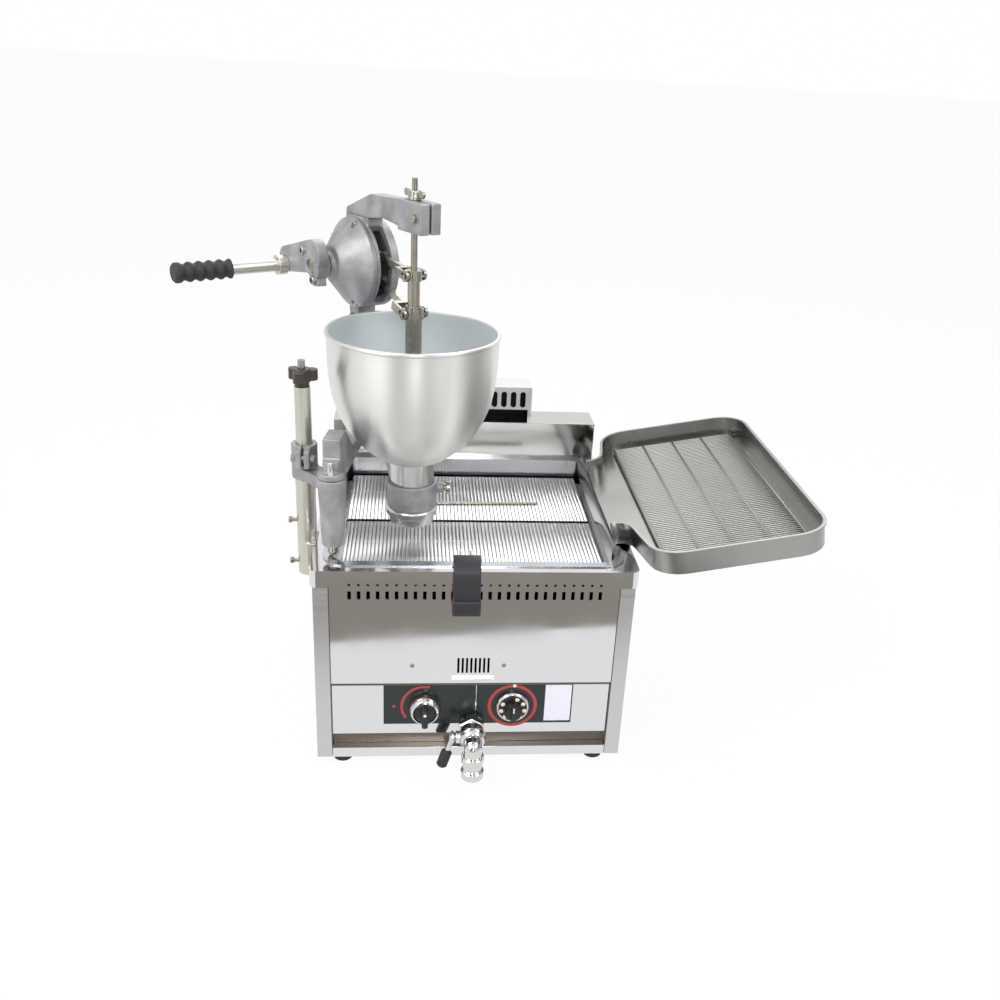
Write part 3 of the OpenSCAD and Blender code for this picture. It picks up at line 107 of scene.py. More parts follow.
# Studio: pale floor, white surround, soft lamps and dark flags that only the metal sees
studio = {
    "floorColour": "#F4F4F4",
    "floorSide": 80,  # m
    "floorZ": -0.0005,  # m, just under the feet
    "floorGlow": 0.94,  # share of the floor that shows as plain white
    "ambient": 0.62,
    "lamps": [
        # place, aim, width, height, watts
        ((-1.6, -1.5, 2.3), (0, 0, 0.4), 1.6, 1.6, 46),
        ((1.9, -1.2, 2.0), (0, 0, 0.4), 1.6, 1.6, 26),
        ((0.2, 1.6, 2.4), (0, 0, 0.4), 1.8, 1.8, 20),
        ((0.1, -2.3, 1.5), (-0.09, -0.09, 0.53), 0.12, 1.4, 9),
    ],
    "flags": [
        # name, colour, centre, size along its own X and Y, turn in degrees
        ("frontFlag", "#9A948A", (0.012, -0.789, 0.003), (1.1, 0.34), (0, 0, -6.2)),
        ("sideFlag", "#7D7D7C", (1.5, -1.0, 0.75), (0.3, 1.1), (90, 0, 56)),
    ],
    "screens": [
        # name, colour, bearing from the bowl in degrees to the right of the front, width in degrees
        ("leftScreen", "#767675", -20, 22),
        ("nearScreen", "#9E9E9C", 15, 14),
        ("thinScreen", "#505050", 46, 7),
        ("farScreen", "#A4A4A2", 84, 40),
    ],
    "bowlAxis": (-0.091, -0.093), "screenAway": 2.4, "screenTall": 2.8,
}


def buildStudio(setup):
    world = bpy.data.worlds.new("studioSurround")
    scene.world = world
    world.use_nodes = True
    tree = world.node_tree
    tree.nodes.clear()
    rays = addNode(tree, "ShaderNodeLightPath")
    seen = addNode(tree, "ShaderNodeMath", {"operation": "MAXIMUM"},
                   {0: rays.outputs["Is Camera Ray"], 1: rays.outputs["Is Glossy Ray"]})
    seen = addNode(tree, "ShaderNodeMath", {"operation": "MAXIMUM"},
                   {0: seen.outputs[0], 1: rays.outputs["Is Transmission Ray"]})
    level = addNode(tree, "ShaderNodeMapRange", {},
                    {"Value": seen.outputs[0], "To Min": setup["ambient"], "To Max": 1.0})
    surround = addNode(tree, "ShaderNodeBackground", {},
                       {"Color": (1, 1, 1, 1), "Strength": level.outputs["Result"]})
    addNode(tree, "ShaderNodeOutputWorld", {}, {"Surface": surround.outputs[0]})

    bpy.ops.mesh.primitive_plane_add(size=setup["floorSide"], location=(0, 0, setup["floorZ"]))
    floor = bpy.context.object
    floor.name = "floor"
    paint = bpy.data.materials.new("paleFloor")
    paint.use_nodes = True
    tree = paint.node_tree
    tree.nodes.clear()
    rays = addNode(tree, "ShaderNodeLightPath")
    seen = addNode(tree, "ShaderNodeMath", {"operation": "MAXIMUM"},
                   {0: rays.outputs["Is Camera Ray"], 1: rays.outputs["Is Glossy Ray"]})
    share = addNode(tree, "ShaderNodeMath", {"operation": "MULTIPLY"},
                    {0: seen.outputs[0], 1: setup["floorGlow"]})
    matt = addNode(tree, "ShaderNodeBsdfDiffuse", {}, {"Color": srgb(setup["floorColour"])})
    glow = addNode(tree, "ShaderNodeEmission", {}, {"Color": (1, 1, 1, 1), "Strength": 1.0})
    both = addNode(tree, "ShaderNodeMixShader", {},
                   {0: share.outputs[0], 1: matt.outputs[0], 2: glow.outputs[0]})
    addNode(tree, "ShaderNodeOutputMaterial", {}, {"Surface": both.outputs[0]})
    floor.data.materials.append(paint)

    for place, aim, width, height, watts in setup["lamps"]:
        bpy.ops.object.light_add(type="AREA", location=place)
        lamp = bpy.context.object
        lamp.data.shape = "RECTANGLE"
        lamp.data.size, lamp.data.size_y = width, height
        lamp.data.energy = watts
        lamp.rotation_euler = (Vector(aim) - Vector(place)).to_track_quat("-Z", "Y").to_euler()

    flags = list(setup["flags"])
    for name, colour, bearing, spread in setup["screens"]:
        away, tall, turn = setup["screenAway"], setup["screenTall"], math.radians(bearing)
        x, y = setup["bowlAxis"]
        centre = (x + away * math.sin(turn), y - away * math.cos(turn), tall / 2)
        wide = 2 * away * math.tan(math.radians(spread / 2))
        flags.append((name, colour, centre, (wide, tall), (90, 0, bearing)))
    for name, colour, centre, size, turn in flags:
        bpy.ops.mesh.primitive_plane_add(size=1, location=centre, rotation=[math.radians(t) for t in turn])
        flag = bpy.context.object
        flag.name = name
        flag.scale = (size[0], size[1], 1)
        cloth = bpy.data.materials.new(name + "Cloth")
        cloth.use_nodes = True
        cloth.node_tree.nodes.clear()
        shade = addNode(cloth.node_tree, "ShaderNodeEmission", {}, {"Color": srgb(colour), "Strength": 1.0})
        addNode(cloth.node_tree, "ShaderNodeOutputMaterial", {}, {"Surface": shade.outputs[0]})
        flag.data.materials.append(cloth)
        flag.visible_camera = False
        flag.visible_diffuse = False
        flag.visible_shadow = False


buildStudio(studio)
print("studio built")


# Finishes, one function for each kind of surface
def polishedStainless(name, colour, roughLow, roughHigh):
    # bright-rolled stainless sheet: near mirror, with slow waves in the sheet and wipe marks
    material, tree, shader = newMaterial(name, colour, 1, roughLow)
    place = addNode(tree, "ShaderNodeTexCoord")
    wipes = addNode(tree, "ShaderNodeTexNoise", {},
                    {"Vector": place.outputs["Object"], "Scale": 1 / (70 * mm), "Detail": 6})
    rough = addNode(tree, "ShaderNodeMapRange", {},
                    {"Value": wipes.outputs["Fac"], "From Min": 0.3, "From Max": 0.75,
                     "To Min": roughLow, "To Max": roughHigh})
    tree.links.new(rough.outputs["Result"], shader.inputs["Roughness"])
    waves = addNode(tree, "ShaderNodeTexNoise", {},
                    {"Vector": place.outputs["Object"], "Scale": 1 / (240 * mm), "Detail": 1})
    dent = addNode(tree, "ShaderNodeBump", {},
                   {"Height": waves.outputs["Fac"], "Strength": 0.25, "Distance": 4 * mm})
    tree.links.new(dent.outputs["Normal"], shader.inputs["Normal"])
    return material


def oiledStainless(name, colour, stain, level):
    # frying well: rubbed stainless above the oil line, browned black below it, with an edge about 6 mm soft
    material, tree, shader = newMaterial(name, colour, 1, 0.2)
    place = addNode(tree, "ShaderNodeTexCoord")
    parts = addNode(tree, "ShaderNodeSeparateXYZ", {}, {"Vector": place.outputs["Object"]})
    height = addNode(tree, "ShaderNodeMapRange", {"interpolation_type": "SMOOTHSTEP"},
                     {"Value": parts.outputs["Z"], "From Min": level - 3 * mm, "From Max": level + 3 * mm})
    tint = addNode(tree, "ShaderNodeValToRGB", {}, {"Fac": height.outputs["Result"]})
    tint.color_ramp.elements[0].color, tint.color_ramp.elements[1].color = srgb(stain), srgb(colour)
    tree.links.new(tint.outputs["Color"], shader.inputs["Base Color"])
    wipes = addNode(tree, "ShaderNodeTexNoise", {},
                    {"Vector": place.outputs["Object"], "Scale": 1 / (60 * mm), "Detail": 5})
    rough = addNode(tree, "ShaderNodeMapRange", {},
                    {"Value": wipes.outputs["Fac"], "To Min": 0.12, "To Max": 0.28})
    tree.links.new(rough.outputs["Result"], shader.inputs["Roughness"])
    return material


def brushedStainless(name, colour, roughness, grain):
    # belt-brushed stainless: fine parallel lines, drawn about 3 mm apart because the real grit is too fine
    material, tree, shader = newMaterial(name, colour, 1, roughness)
    place = addNode(tree, "ShaderNodeTexCoord")
    along = addNode(tree, "ShaderNodeMapping", {}, {"Vector": place.outputs["Object"], "Scale": grain})
    lines = addNode(tree, "ShaderNodeTexNoise", {},
                    {"Vector": along.outputs["Vector"], "Scale": 1 / (3 * mm), "Detail": 4})
    rough = addNode(tree, "ShaderNodeMapRange", {},
                    {"Value": lines.outputs["Fac"], "From Min": 0.3, "From Max": 0.7,
                     "To Min": roughness - 0.03, "To Max": roughness + 0.06})
    tree.links.new(rough.outputs["Result"], shader.inputs["Roughness"])
    ridge = addNode(tree, "ShaderNodeBump", {},
                    {"Height": lines.outputs["Fac"], "Strength": 0.05, "Distance": 0.1 * mm})
    tree.links.new(ridge.outputs["Normal"], shader.inputs["Normal"])
    return material


def spunAluminium(name, colour):
    # bowl spun on a lathe: satin, with rings left by the roller; drawn 2 mm apart so that they show
    material, tree, shader = newMaterial(name, colour, 1, 0.38)
    shader.inputs["Anisotropic"].default_value = 0.8
    shader.inputs["Anisotropic Rotation"].default_value = 0.25
    around = addNode(tree, "ShaderNodeTangent", {"direction_type": "RADIAL", "axis": "Z"})
    tree.links.new(around.outputs["Tangent"], shader.inputs["Tangent"])
    place = addNode(tree, "ShaderNodeTexCoord")
    flat = addNode(tree, "ShaderNodeMapping", {},
                   {"Vector": place.outputs["Object"], "Scale": (0.02, 0.02, 1)})
    rings = addNode(tree, "ShaderNodeTexNoise", {},
                    {"Vector": flat.outputs["Vector"], "Scale": 1 / (2 * mm), "Detail": 3})
    rough = addNode(tree, "ShaderNodeMapRange", {},
                    {"Value": rings.outputs["Fac"], "To Min": 0.32, "To Max": 0.46})
    tree.links.new(rough.outputs["Result"], shader.inputs["Roughness"])
    ridge = addNode(tree, "ShaderNodeBump", {},
                    {"Height": rings.outputs["Fac"], "Strength": 0.1, "Distance": 0.5 * mm})
    tree.links.new(ridge.outputs["Normal"], shader.inputs["Normal"])
    return material


def mattAluminium(name, colour):
    # inside of the bowl: aluminium dulled by batter and washing, cloudy over about 40 mm
    material, tree, shader = newMaterial(name, colour, 0.45, 0.5)
    place = addNode(tree, "ShaderNodeTexCoord")
    cloud = addNode(tree, "ShaderNodeTexNoise", {},
                    {"Vector": place.outputs["Object"], "Scale": 1 / (40 * mm), "Detail": 4})
    rough = addNode(tree, "ShaderNodeMapRange", {},
                    {"Value": cloud.outputs["Fac"], "To Min": 0.42, "To Max": 0.58})
    tree.links.new(rough.outputs["Result"], shader.inputs["Roughness"])
    return material


def castAluminium(name, dark, light):
    # sand casting under a thin silver lacquer: patchy grey, soft sheen, sand grain about 2 mm
    material, tree, shader = newMaterial(name, dark, 0.6, 0.48)
    place = addNode(tree, "ShaderNodeTexCoord")
    patches = addNode(tree, "ShaderNodeTexNoise", {},
                      {"Vector": place.outputs["Object"], "Scale": 1 / (28 * mm), "Detail": 5})
    tint = addNode(tree, "ShaderNodeValToRGB", {}, {"Fac": patches.outputs["Fac"]})
    tint.color_ramp.elements[0].position, tint.color_ramp.elements[1].position = 0.35, 0.68
    tint.color_ramp.elements[0].color, tint.color_ramp.elements[1].color = srgb(dark), srgb(light)
    tree.links.new(tint.outputs["Color"], shader.inputs["Base Color"])
    sand = addNode(tree, "ShaderNodeTexNoise", {},
                   {"Vector": place.outputs["Object"], "Scale": 1 / (2 * mm), "Detail": 3})
    rough = addNode(tree, "ShaderNodeMapRange", {},
                    {"Value": sand.outputs["Fac"], "To Min": 0.38, "To Max": 0.58})
    tree.links.new(rough.outputs["Result"], shader.inputs["Roughness"])
    grain = addNode(tree, "ShaderNodeBump", {},
                    {"Height": sand.outputs["Fac"], "Strength": 0.22, "Distance": 0.6 * mm})
    tree.links.new(grain.outputs["Normal"], shader.inputs["Normal"])
    return material


def platedSteel(name, colour, roughLow, roughHigh):
    # nickel or chrome over turned steel: smooth, with faint handling marks about 12 mm wide
    material, tree, shader = newMaterial(name, colour, 1, roughLow)
    place = addNode(tree, "ShaderNodeTexCoord")
    marks = addNode(tree, "ShaderNodeTexNoise", {},
                    {"Vector": place.outputs["Object"], "Scale": 1 / (12 * mm), "Detail": 5})
    rough = addNode(tree, "ShaderNodeMapRange", {},
                    {"Value": marks.outputs["Fac"], "From Min": 0.3, "From Max": 0.7,
                     "To Min": roughLow, "To Max": roughHigh})
    tree.links.new(rough.outputs["Result"], shader.inputs["Roughness"])
    return material


def mouldedBlack(name, colour, roughness, grainSize, depth):
    # moulded plastic or rubber: matt skin with a fine spark-eroded grain
    material, tree, shader = newMaterial(name, colour, 0, roughness)
    place = addNode(tree, "ShaderNodeTexCoord")
    grain = addNode(tree, "ShaderNodeTexNoise", {},
                    {"Vector": place.outputs["Object"], "Scale": 1 / grainSize, "Detail": 3})
    rough = addNode(tree, "ShaderNodeMapRange", {},
                    {"Value": grain.outputs["Fac"],
                     "To Min": roughness - 0.08, "To Max": roughness + 0.1})
    tree.links.new(rough.outputs["Result"], shader.inputs["Roughness"])
    skin = addNode(tree, "ShaderNodeBump", {},
                   {"Height": grain.outputs["Fac"], "Strength": 0.3, "Distance": depth})
    tree.links.new(skin.outputs["Normal"], shader.inputs["Normal"])
    return material


def printedPlate(name, colour, roughness):
    # screen-printed film or ink: smooth, a little uneven in gloss
    material, tree, shader = newMaterial(name, colour, 0, roughness)
    place = addNode(tree, "ShaderNodeTexCoord")
    gloss = addNode(tree, "ShaderNodeTexNoise", {},
                    {"Vector": place.outputs["Object"], "Scale": 1 / (9 * mm), "Detail": 4})
    rough = addNode(tree, "ShaderNodeMapRange", {},
                    {"Value": gloss.outputs["Fac"],
                     "To Min": roughness - 0.06, "To Max": roughness + 0.08})
    tree.links.new(rough.outputs["Result"], shader.inputs["Roughness"])
    return material


looks = {
    "sheet": polishedStainless("polishedStainless", "#DCDCDF", 0.05, 0.14),
    # painted shade: dark brown stainless laid where the recess and the gaps round the control panel are
    # only in shade
    "recess": polishedStainless("paintedShadeStainless", "#6E665B", 0.25, 0.4),
    "pan": oiledStainless("oiledStainless", "#B4B4B8", "#2E2B28", 288 * mm),
    "flue": polishedStainless("brightStainless", "#CBCBC8", 0.08, 0.2),
    "hood": brushedStainless("satinStainless", "#D6D6D4", 0.36, (0.04, 1, 1)),
    "side": brushedStainless("brushedStainless", "#CBCBCA", 0.3, (0.04, 0.04, 1)),
    # near-black: soot inside the flue and chimney, and painted shade on the screen ends at the slit
    "sootAndShade": mouldedBlack("sootAndShadeStainless", "#1A1918", 0.7, 2.0 * mm, 0.2 * mm),
    "tray": polishedStainless("satinSheet", "#A2A29F", 0.2, 0.3),
    "wire": platedSteel("wedgeWire", "#E8E8E8", 0.3, 0.4),
    "rackWire": platedSteel("drawnWire", "#B4B4B0", 0.36, 0.46),
    # painted shade: the cross rods under the wires get a darker grey than the wires, for the shade they lie
    # in
    "rackRod": platedSteel("shadedRod", "#8A8A86", 0.3, 0.44),
    "bowl": spunAluminium("spunAluminium", "#E2E2DF"),
    # the bluish tint of this colour is a painted reflection; the dulled, cloudy gloss is the metal's own
    "bowlInside": mattAluminium("washedAluminiumBlueReflection", "#D6DBDD"),
    "casting": castAluminium("castAluminium", "#8D8D8F", "#ABABAD"),
    "nickel": platedSteel("nickelPlate", "#A7A297", 0.2, 0.34),
    "neck": platedSteel("turnedStainless", "#CDCDCB", 0.27, 0.36),
    "post": platedSteel("satinNickel", "#CFCBC0", 0.26, 0.38),
    "chrome": platedSteel("chromePlate", "#D6D6D4", 0.07, 0.16),
    "brass": platedSteel("machinedBrass", "#B08D57", 0.26, 0.4),
    "iron": castAluminium("castIron", "#4E4A44", "#6A655C"),
    "rubber": mouldedBlack("blackRubber", "#262626", 0.6, 1.5 * mm, 0.3 * mm),
    "knob": mouldedBlack("blackPhenolic", "#161616", 0.34, 1.2 * mm, 0.1 * mm),
    "lobe": mouldedBlack("bronzeBlackPhenolic", "#362E27", 0.28, 1.6 * mm, 0.2 * mm),
    "slate": mouldedBlack("slateNylon", "#26262B", 0.4, 1.3 * mm, 0.2 * mm),
    "plate": printedPlate("blackPrintedPlate", "#172021", 0.24),
    "red": printedPlate("redInk", "#A93632", 0.4),
    "cream": printedPlate("creamInk", "#E4DFC9", 0.4),
    "label": printedPlate("paleLabelFilm", "#DAD9E4", 0.45),
}
nodeLook = {
    "stainless": "sheet", "panStainless": "pan", "trayStainless": "tray", "wire": "wire",
    "spunAluminium": "bowl", "castAluminium": "casting", "nickel": "nickel", "brass": "brass",
    "castIron": "iron", "rubber": "rubber", "blackPlastic": "knob", "slatePlastic": "slate",
    "blackPlate": "plate",
}
ownLook = {
    "flue_box": "flue", "chimney": "hood", "side_panels": "side", "rear_panel": "side",
    "gas_bezel": "chrome", "dial_ring": "chrome",
    "valve_body": "chrome", "post_knob": "lobe", "neck_cylinder": "neck", "nozzle_ring": "neck",
    "post": "post", "post_bracket": "post", "handle_rod": "post", "lock_nut": "post",
    "tray_rack": "rackWire",
}


def lookOf(node):
    return ownLook.get(node, nodeLook[slotOf[node]])


for name, node in nodes.items():
    node.data.materials.clear()
    node.data.materials.append(looks[lookOf(name)])
print("finishes on all CAD nodes")


def pick(piece):
    bpy.ops.object.select_all(action="DESELECT")
    piece.select_set(True)
    bpy.context.view_layer.objects.active = piece


def bakePlace(piece):
    pick(piece)
    bpy.ops.object.transform_apply(location=True, rotation=True, scale=True)


def applyModifiers(piece):
    pick(piece)
    for modifier in list(piece.modifiers):
        bpy.ops.object.modifier_apply(modifier=modifier.name)


def settle(piece, name, body, look, stands=(), smooth=35):
    # place goes into the mesh, then the piece gets its finish and its body
    bakePlace(piece)
    bpy.ops.object.shade_smooth_by_angle(angle=math.radians(smooth))
    piece.name = name
    piece.data.materials.clear()
    piece.data.materials.append(looks[look])
    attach(piece, body)
    if stands:
        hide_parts(*stands)
    return piece


def copyOf(node):
    piece = bpy.data.objects.new(node + "_copy", nodes[node].data.copy())
    scene.collection.objects.link(piece)
    pick(piece)
    bpy.ops.object.mode_set(mode="EDIT")
    bpy.ops.mesh.select_all(action="SELECT")
    bpy.ops.mesh.customdata_custom_splitnormals_clear()
    bpy.ops.mesh.remove_doubles(threshold=0.01 * mm)
    bpy.ops.object.mode_set(mode="OBJECT")
    return piece


def lineInside(piece, look, inner):
    # gives the faces that a test picks out by middle and normal, in mm, a finish of their own
    piece.data.materials.append(looks[look])
    for face in piece.data.polygons:
        if inner(face.center / mm, face.normal):
            face.material_index = 1


# Folded sheet and turned metal: the CAD shape with its edges broken, widths in mm
edgeBreak = {
    "rim_deck": 1.4, "front_panel": 0.5, "control_panel": 0.5, "side_panels": 0.8, "base_plate": 0.6,
    "flue_box": 1.5, "chimney": 0.8, "fry_pan": 1.2, "drain_tray": 0.7, "control_plates": 0.3,
    "drain_pipe": 0.3, "gas_pipe": 0.4, "rear_panel": 0.5, "set_screws": 0.4, "post": 0.5,
    "clamp_bolt": 0.4, "swing_shaft": 0.4, "neck_cylinder": 0.5, "thumb_screw": 0.5, "nozzle_ring": 0.6,
    "outer_sleeve": 0.4, "lower_collar": 0.5, "inner_plunger": 0.4, "upper_collar": 0.5, "upper_lever": 0.7,
    "lower_lever": 0.7, "crank_shaft": 0.5, "handle_rod": 0.5, "lock_nut": 0.6, "grip": 0.3,
    "housing_bolts": 0.5, "lifter_wires": 0.2, "lifter_grip": 1.8, "feet": 0.8, "gas_bezel": 0.4,
    "dial_ring": 0.3,
}
edgeRule = {"flat": 0.3, "corner": 38, "smooth": 50, "segments": 2, "faceWeight": 100}  # angles in degrees


def breakEdges(node, width):
    piece = copyOf(node)
    bpy.ops.object.mode_set(mode="EDIT")
    bpy.ops.mesh.select_all(action="SELECT")
    bpy.ops.mesh.dissolve_limited(angle_limit=math.radians(edgeRule["flat"]))
    bpy.ops.object.mode_set(mode="OBJECT")
    bevel = piece.modifiers.new("edge", "BEVEL")
    bevel.width = width * mm
    bevel.segments = edgeRule["segments"]
    bevel.limit_method = "ANGLE"
    bevel.angle_limit = math.radians(edgeRule["corner"])
    applyModifiers(piece)
    settle(piece, node + "_finish", bodyOf[node], lookOf(node), [node], edgeRule["smooth"])
    even = piece.modifiers.new("even", "WEIGHTED_NORMAL")
    even.keep_sharp = True
    even.weight = edgeRule["faceWeight"]
    applyModifiers(piece)
    return piece


finished = {node: breakEdges(node, width) for node, width in edgeBreak.items()}
print("edges broken on", len(edgeBreak), "pieces")

# Soot inside the chimney and the flue box, by the middle of each box in mm
sootedBoxes = {"chimney": (0, 221.5, 422), "flue_box": (0, 215.5, 359)}
for node, middle in sootedBoxes.items():
    lineInside(finished[node], "sootAndShade",
               lambda place, normal, middle=middle: (place - Vector(middle)).dot(normal) < 0)
print("flue sooted")

# Castings and mouldings: skin remade at this grid in mm, then relaxed so that edges and corners go round
castGrid = {
    "clamp_casting": (1.1, 7), "depositor_frame": (1.3, 7), "housing_back": (1.1, 6),
    "housing_cover": (1.0, 6), "crank_arm": (0.9, 7), "top_arm": (1.0, 7), "post_bracket": (1.2, 6),
    "valve_body": (0.7, 5), "post_knob": (0.6, 6), "stroke_nut": (0.5, 5),
}
castRule = {"relax": 0.5, "smooth": 80}


def softenCasting(node, grid, rounds):
    piece = copyOf(node)
    skin = piece.modifiers.new("skin", "REMESH")
    skin.mode = "VOXEL"
    skin.voxel_size = grid * mm
    relax = piece.modifiers.new("relax", "SMOOTH")
    relax.factor = castRule["relax"]
    relax.iterations = rounds
    applyModifiers(piece)
    settle(piece, node + "_finish", bodyOf[node], lookOf(node), [node], castRule["smooth"])


for node, (grid, rounds) in castGrid.items():
    softenCasting(node, grid, rounds)
print("castings softened:", len(castGrid))


def turned(profile, segments=96):
    # a (radius, height) outline in mm, grown ring by ring from a circle
    bpy.ops.object.select_all(action="DESELECT")
    bpy.ops.mesh.primitive_circle_add(vertices=segments, radius=profile[0][0] * mm, fill_type="NOTHING")
    piece = bpy.context.object
    bpy.ops.object.mode_set(mode="EDIT")
    bpy.ops.mesh.select_all(action="SELECT")
    bpy.ops.transform.translate(value=(0, 0, profile[0][1] * mm))
    for (r0, z0), (r1, z1) in zip(profile, profile[1:]):
        bpy.ops.mesh.extrude_edges_move(TRANSFORM_OT_translate={"value": (0, 0, (z1 - z0) * mm)})
        bpy.ops.transform.resize(value=(r1 / r0, r1 / r0, 1), center_override=(0, 0, z1 * mm))
    bpy.ops.mesh.select_all(action="SELECT")
    bpy.ops.mesh.remove_doubles(threshold=0.005 * mm)
    bpy.ops.mesh.normals_make_consistent(inside=False)
    bpy.ops.object.mode_set(mode="OBJECT")
    return piece


# Hopper bowl
hopper = {
    "axis": (-91, -93), "footZ": 430, "rimZ": 619, "footR": 32, "rimR": 120, "wall": 2, "bead": 3,
    "boreR": 28.5, "steps": 30,
    "bulge": (3.2, 0.784),  # powers of the bowl's curve
    "crowd": 1.6,  # power that draws the rings together near the foot
    "reach": 0.004,  # share of the height over which the slope is taken
    "beadTurn": (-80, 190, 22),  # degrees from, to and between the bead's corners
}


def buildHopper(h):
    def skin(s):
        fall, swell = h["bulge"]
        return Vector((h["footR"] + (h["rimR"] - h["footR"]) * (1 - (1 - s) ** fall) ** swell,
                       h["footZ"] + s * (h["rimZ"] - h["footZ"])))

    shares = [(i / h["steps"]) ** h["crowd"] for i in range(h["steps"] + 1)]
    outer = [skin(s) for s in shares]
    inner = []
    for s in shares[2:]:
        run = (skin(min(1, s + h["reach"])) - skin(s - h["reach"])).normalized()
        inner.append(skin(s) + h["wall"] * Vector((-run.y, run.x)))
    bead = [Vector((h["rimR"] + h["bead"] * math.cos(a), h["rimZ"] + h["bead"] * math.sin(a)))
            for a in (math.radians(x) for x in range(*h["beadTurn"]))]
    foot = [Vector((h["boreR"], h["footZ"] + h["wall"])), Vector((h["boreR"], h["footZ"])), outer[0]]
    outline = outer[:-1] + bead + inner[::-1][1:] + foot
    piece = turned([tuple(p) for p in outline], 128)
    piece.location = (h["axis"][0] * mm, h["axis"][1] * mm, 0)
    settle(piece, "hopperBowl", "head", "bowl", ["hopper"], 40)
    axis = Vector((h["axis"][0], h["axis"][1], 0))
    lineInside(piece, "bowlInside",
               lambda place, normal: (place - axis).xy.dot(normal.xy) < 0 and normal.z > -0.2)


buildHopper(hopper)
print("hopper spun")


def block(low, high, edge, segments=3):
    # a box between two corners in mm, with rounded edges
    low, high = Vector(low) * mm, Vector(high) * mm
    bpy.ops.object.select_all(action="DESELECT")
    bpy.ops.mesh.primitive_cube_add(size=1, location=(low + high) / 2)
    piece = bpy.context.object
    piece.scale = high - low
    bakePlace(piece)
    rounding = piece.modifiers.new("round", "BEVEL")
    rounding.width = edge * mm
    rounding.segments = segments
    applyModifiers(piece)
    return piece


def faceFront(piece, x, y, z):
    # turned pieces grow along +Z; this points them out of the front panel
    piece.rotation_euler = (math.radians(90), 0, 0)
    piece.location = (x * mm, y * mm, z * mm)
    bakePlace(piece)
    return piece


# Frying screens: flat-topped wedge wires on round cross rods
screen = {
    "halfWidth": 193, "railZ": 292, "topZ": 299.4, "rodR": 2.5, "rods": 4,
    "wireWidth": 5.0, "wireHeight": 2.8, "wireEdge": 0.2, "pitch": 5.8,
    "shadeEnd": 6,  # depth of the painted shade on the wire ends at the slit between the screens
    "spans": [
        # front edge, length, piece, body, CAD node
        (-210, 180, "frontScreenWires", "lifting_screen", "front_screen"),
        (-22, 180, "backScreenWires", "rear_screen", "back_screen"),
    ],
}


barEnd = {"share": 0.35, "corner": 60}  # bevel as a share of the radius, least corner in degrees


def bar(radius, start, end, sides):
    start, end = Vector(start) * mm, Vector(end) * mm
    bpy.ops.object.select_all(action="DESELECT")
    bpy.ops.mesh.primitive_cylinder_add(vertices=sides, radius=radius * mm, depth=(end - start).length,
                                        location=(start + end) / 2,
                                        rotation=(end - start).to_track_quat("Z", "Y").to_euler())
    piece = bpy.context.object
    bakePlace(piece)
    bevel = piece.modifiers.new("end", "BEVEL")
    bevel.width = radius * barEnd["share"] * mm
    bevel.segments = 1
    bevel.limit_method = "ANGLE"
    bevel.angle_limit = math.radians(barEnd["corner"])
    applyModifiers(piece)
    return piece


def repeat(piece, count, step):
    row = piece.modifiers.new("row", "ARRAY")
    row.count = count
    row.use_relative_offset = False
    row.use_constant_offset = True
    row.constant_offset_displace = tuple(x * mm for x in step)
    applyModifiers(piece)
    return piece


def joined(parts):
    bpy.ops.object.select_all(action="DESELECT")
    for part in parts:
        part.select_set(True)
    bpy.context.view_layer.objects.active = parts[0]
    bpy.ops.object.join()
    return parts[0]


def buildScreens(s):
    count = int((2 * s["halfWidth"] - 2 * s["rodR"]) // s["pitch"])
    first = -count * s["pitch"] / 2
    half = s["wireWidth"] / 2
    rodZ = s["railZ"] + s["rodR"]
    for front, length, name, body, node in s["spans"]:
        wire = block((first - half, front, s["topZ"] - s["wireHeight"]),
                     (first + half, front + length, s["topZ"]), s["wireEdge"], 1)
        wires = repeat(wire, count + 1, (s["pitch"], 0, 0))
        rodY = front + s["rodR"]
        rods = repeat(bar(s["rodR"], (-s["halfWidth"], rodY, rodZ), (s["halfWidth"], rodY, rodZ), 12),
                      s["rods"], (0, (length - 2 * s["rodR"]) / (s["rods"] - 1), 0))
        piece = settle(joined([wires, rods]), name, body, "wire", [node], 50)
        # painted shade: the back screen's wire ends facing the slit get the near-black finish, standing in
        # for the dark shade in the slit
        if node == "back_screen":
            edge = front + s["shadeEnd"]
            lineInside(piece, "sootAndShade", lambda place, normal: place.y < edge and normal.y < -0.2)


buildScreens(screen)
screenRod = {"radius": 2.2, "start": (-54, 37.5, 301.5), "end": (115, 42.5, 301.5)}
looseRod = bar(screenRod["radius"], screenRod["start"], screenRod["end"], 20)
settle(looseRod, "screenRod", "rear_screen", "nickel")
print("screens strung")

# Draining rack in the tray, built flat and then tilted with it
rack = {
    "x": (60, 271), "halfWidth": 223, "foot": 2.3, "rods": 5, "rodR": 2.5, "wireR": 1.2, "pitch": 6,
    "endGap": 3, "rodRaise": 2.2, "wireRaise": 0.2,  # wireRaise is a share of the wire's radius
    "trayPlace": (203, -47, 328.5), "tilt": 10,
}


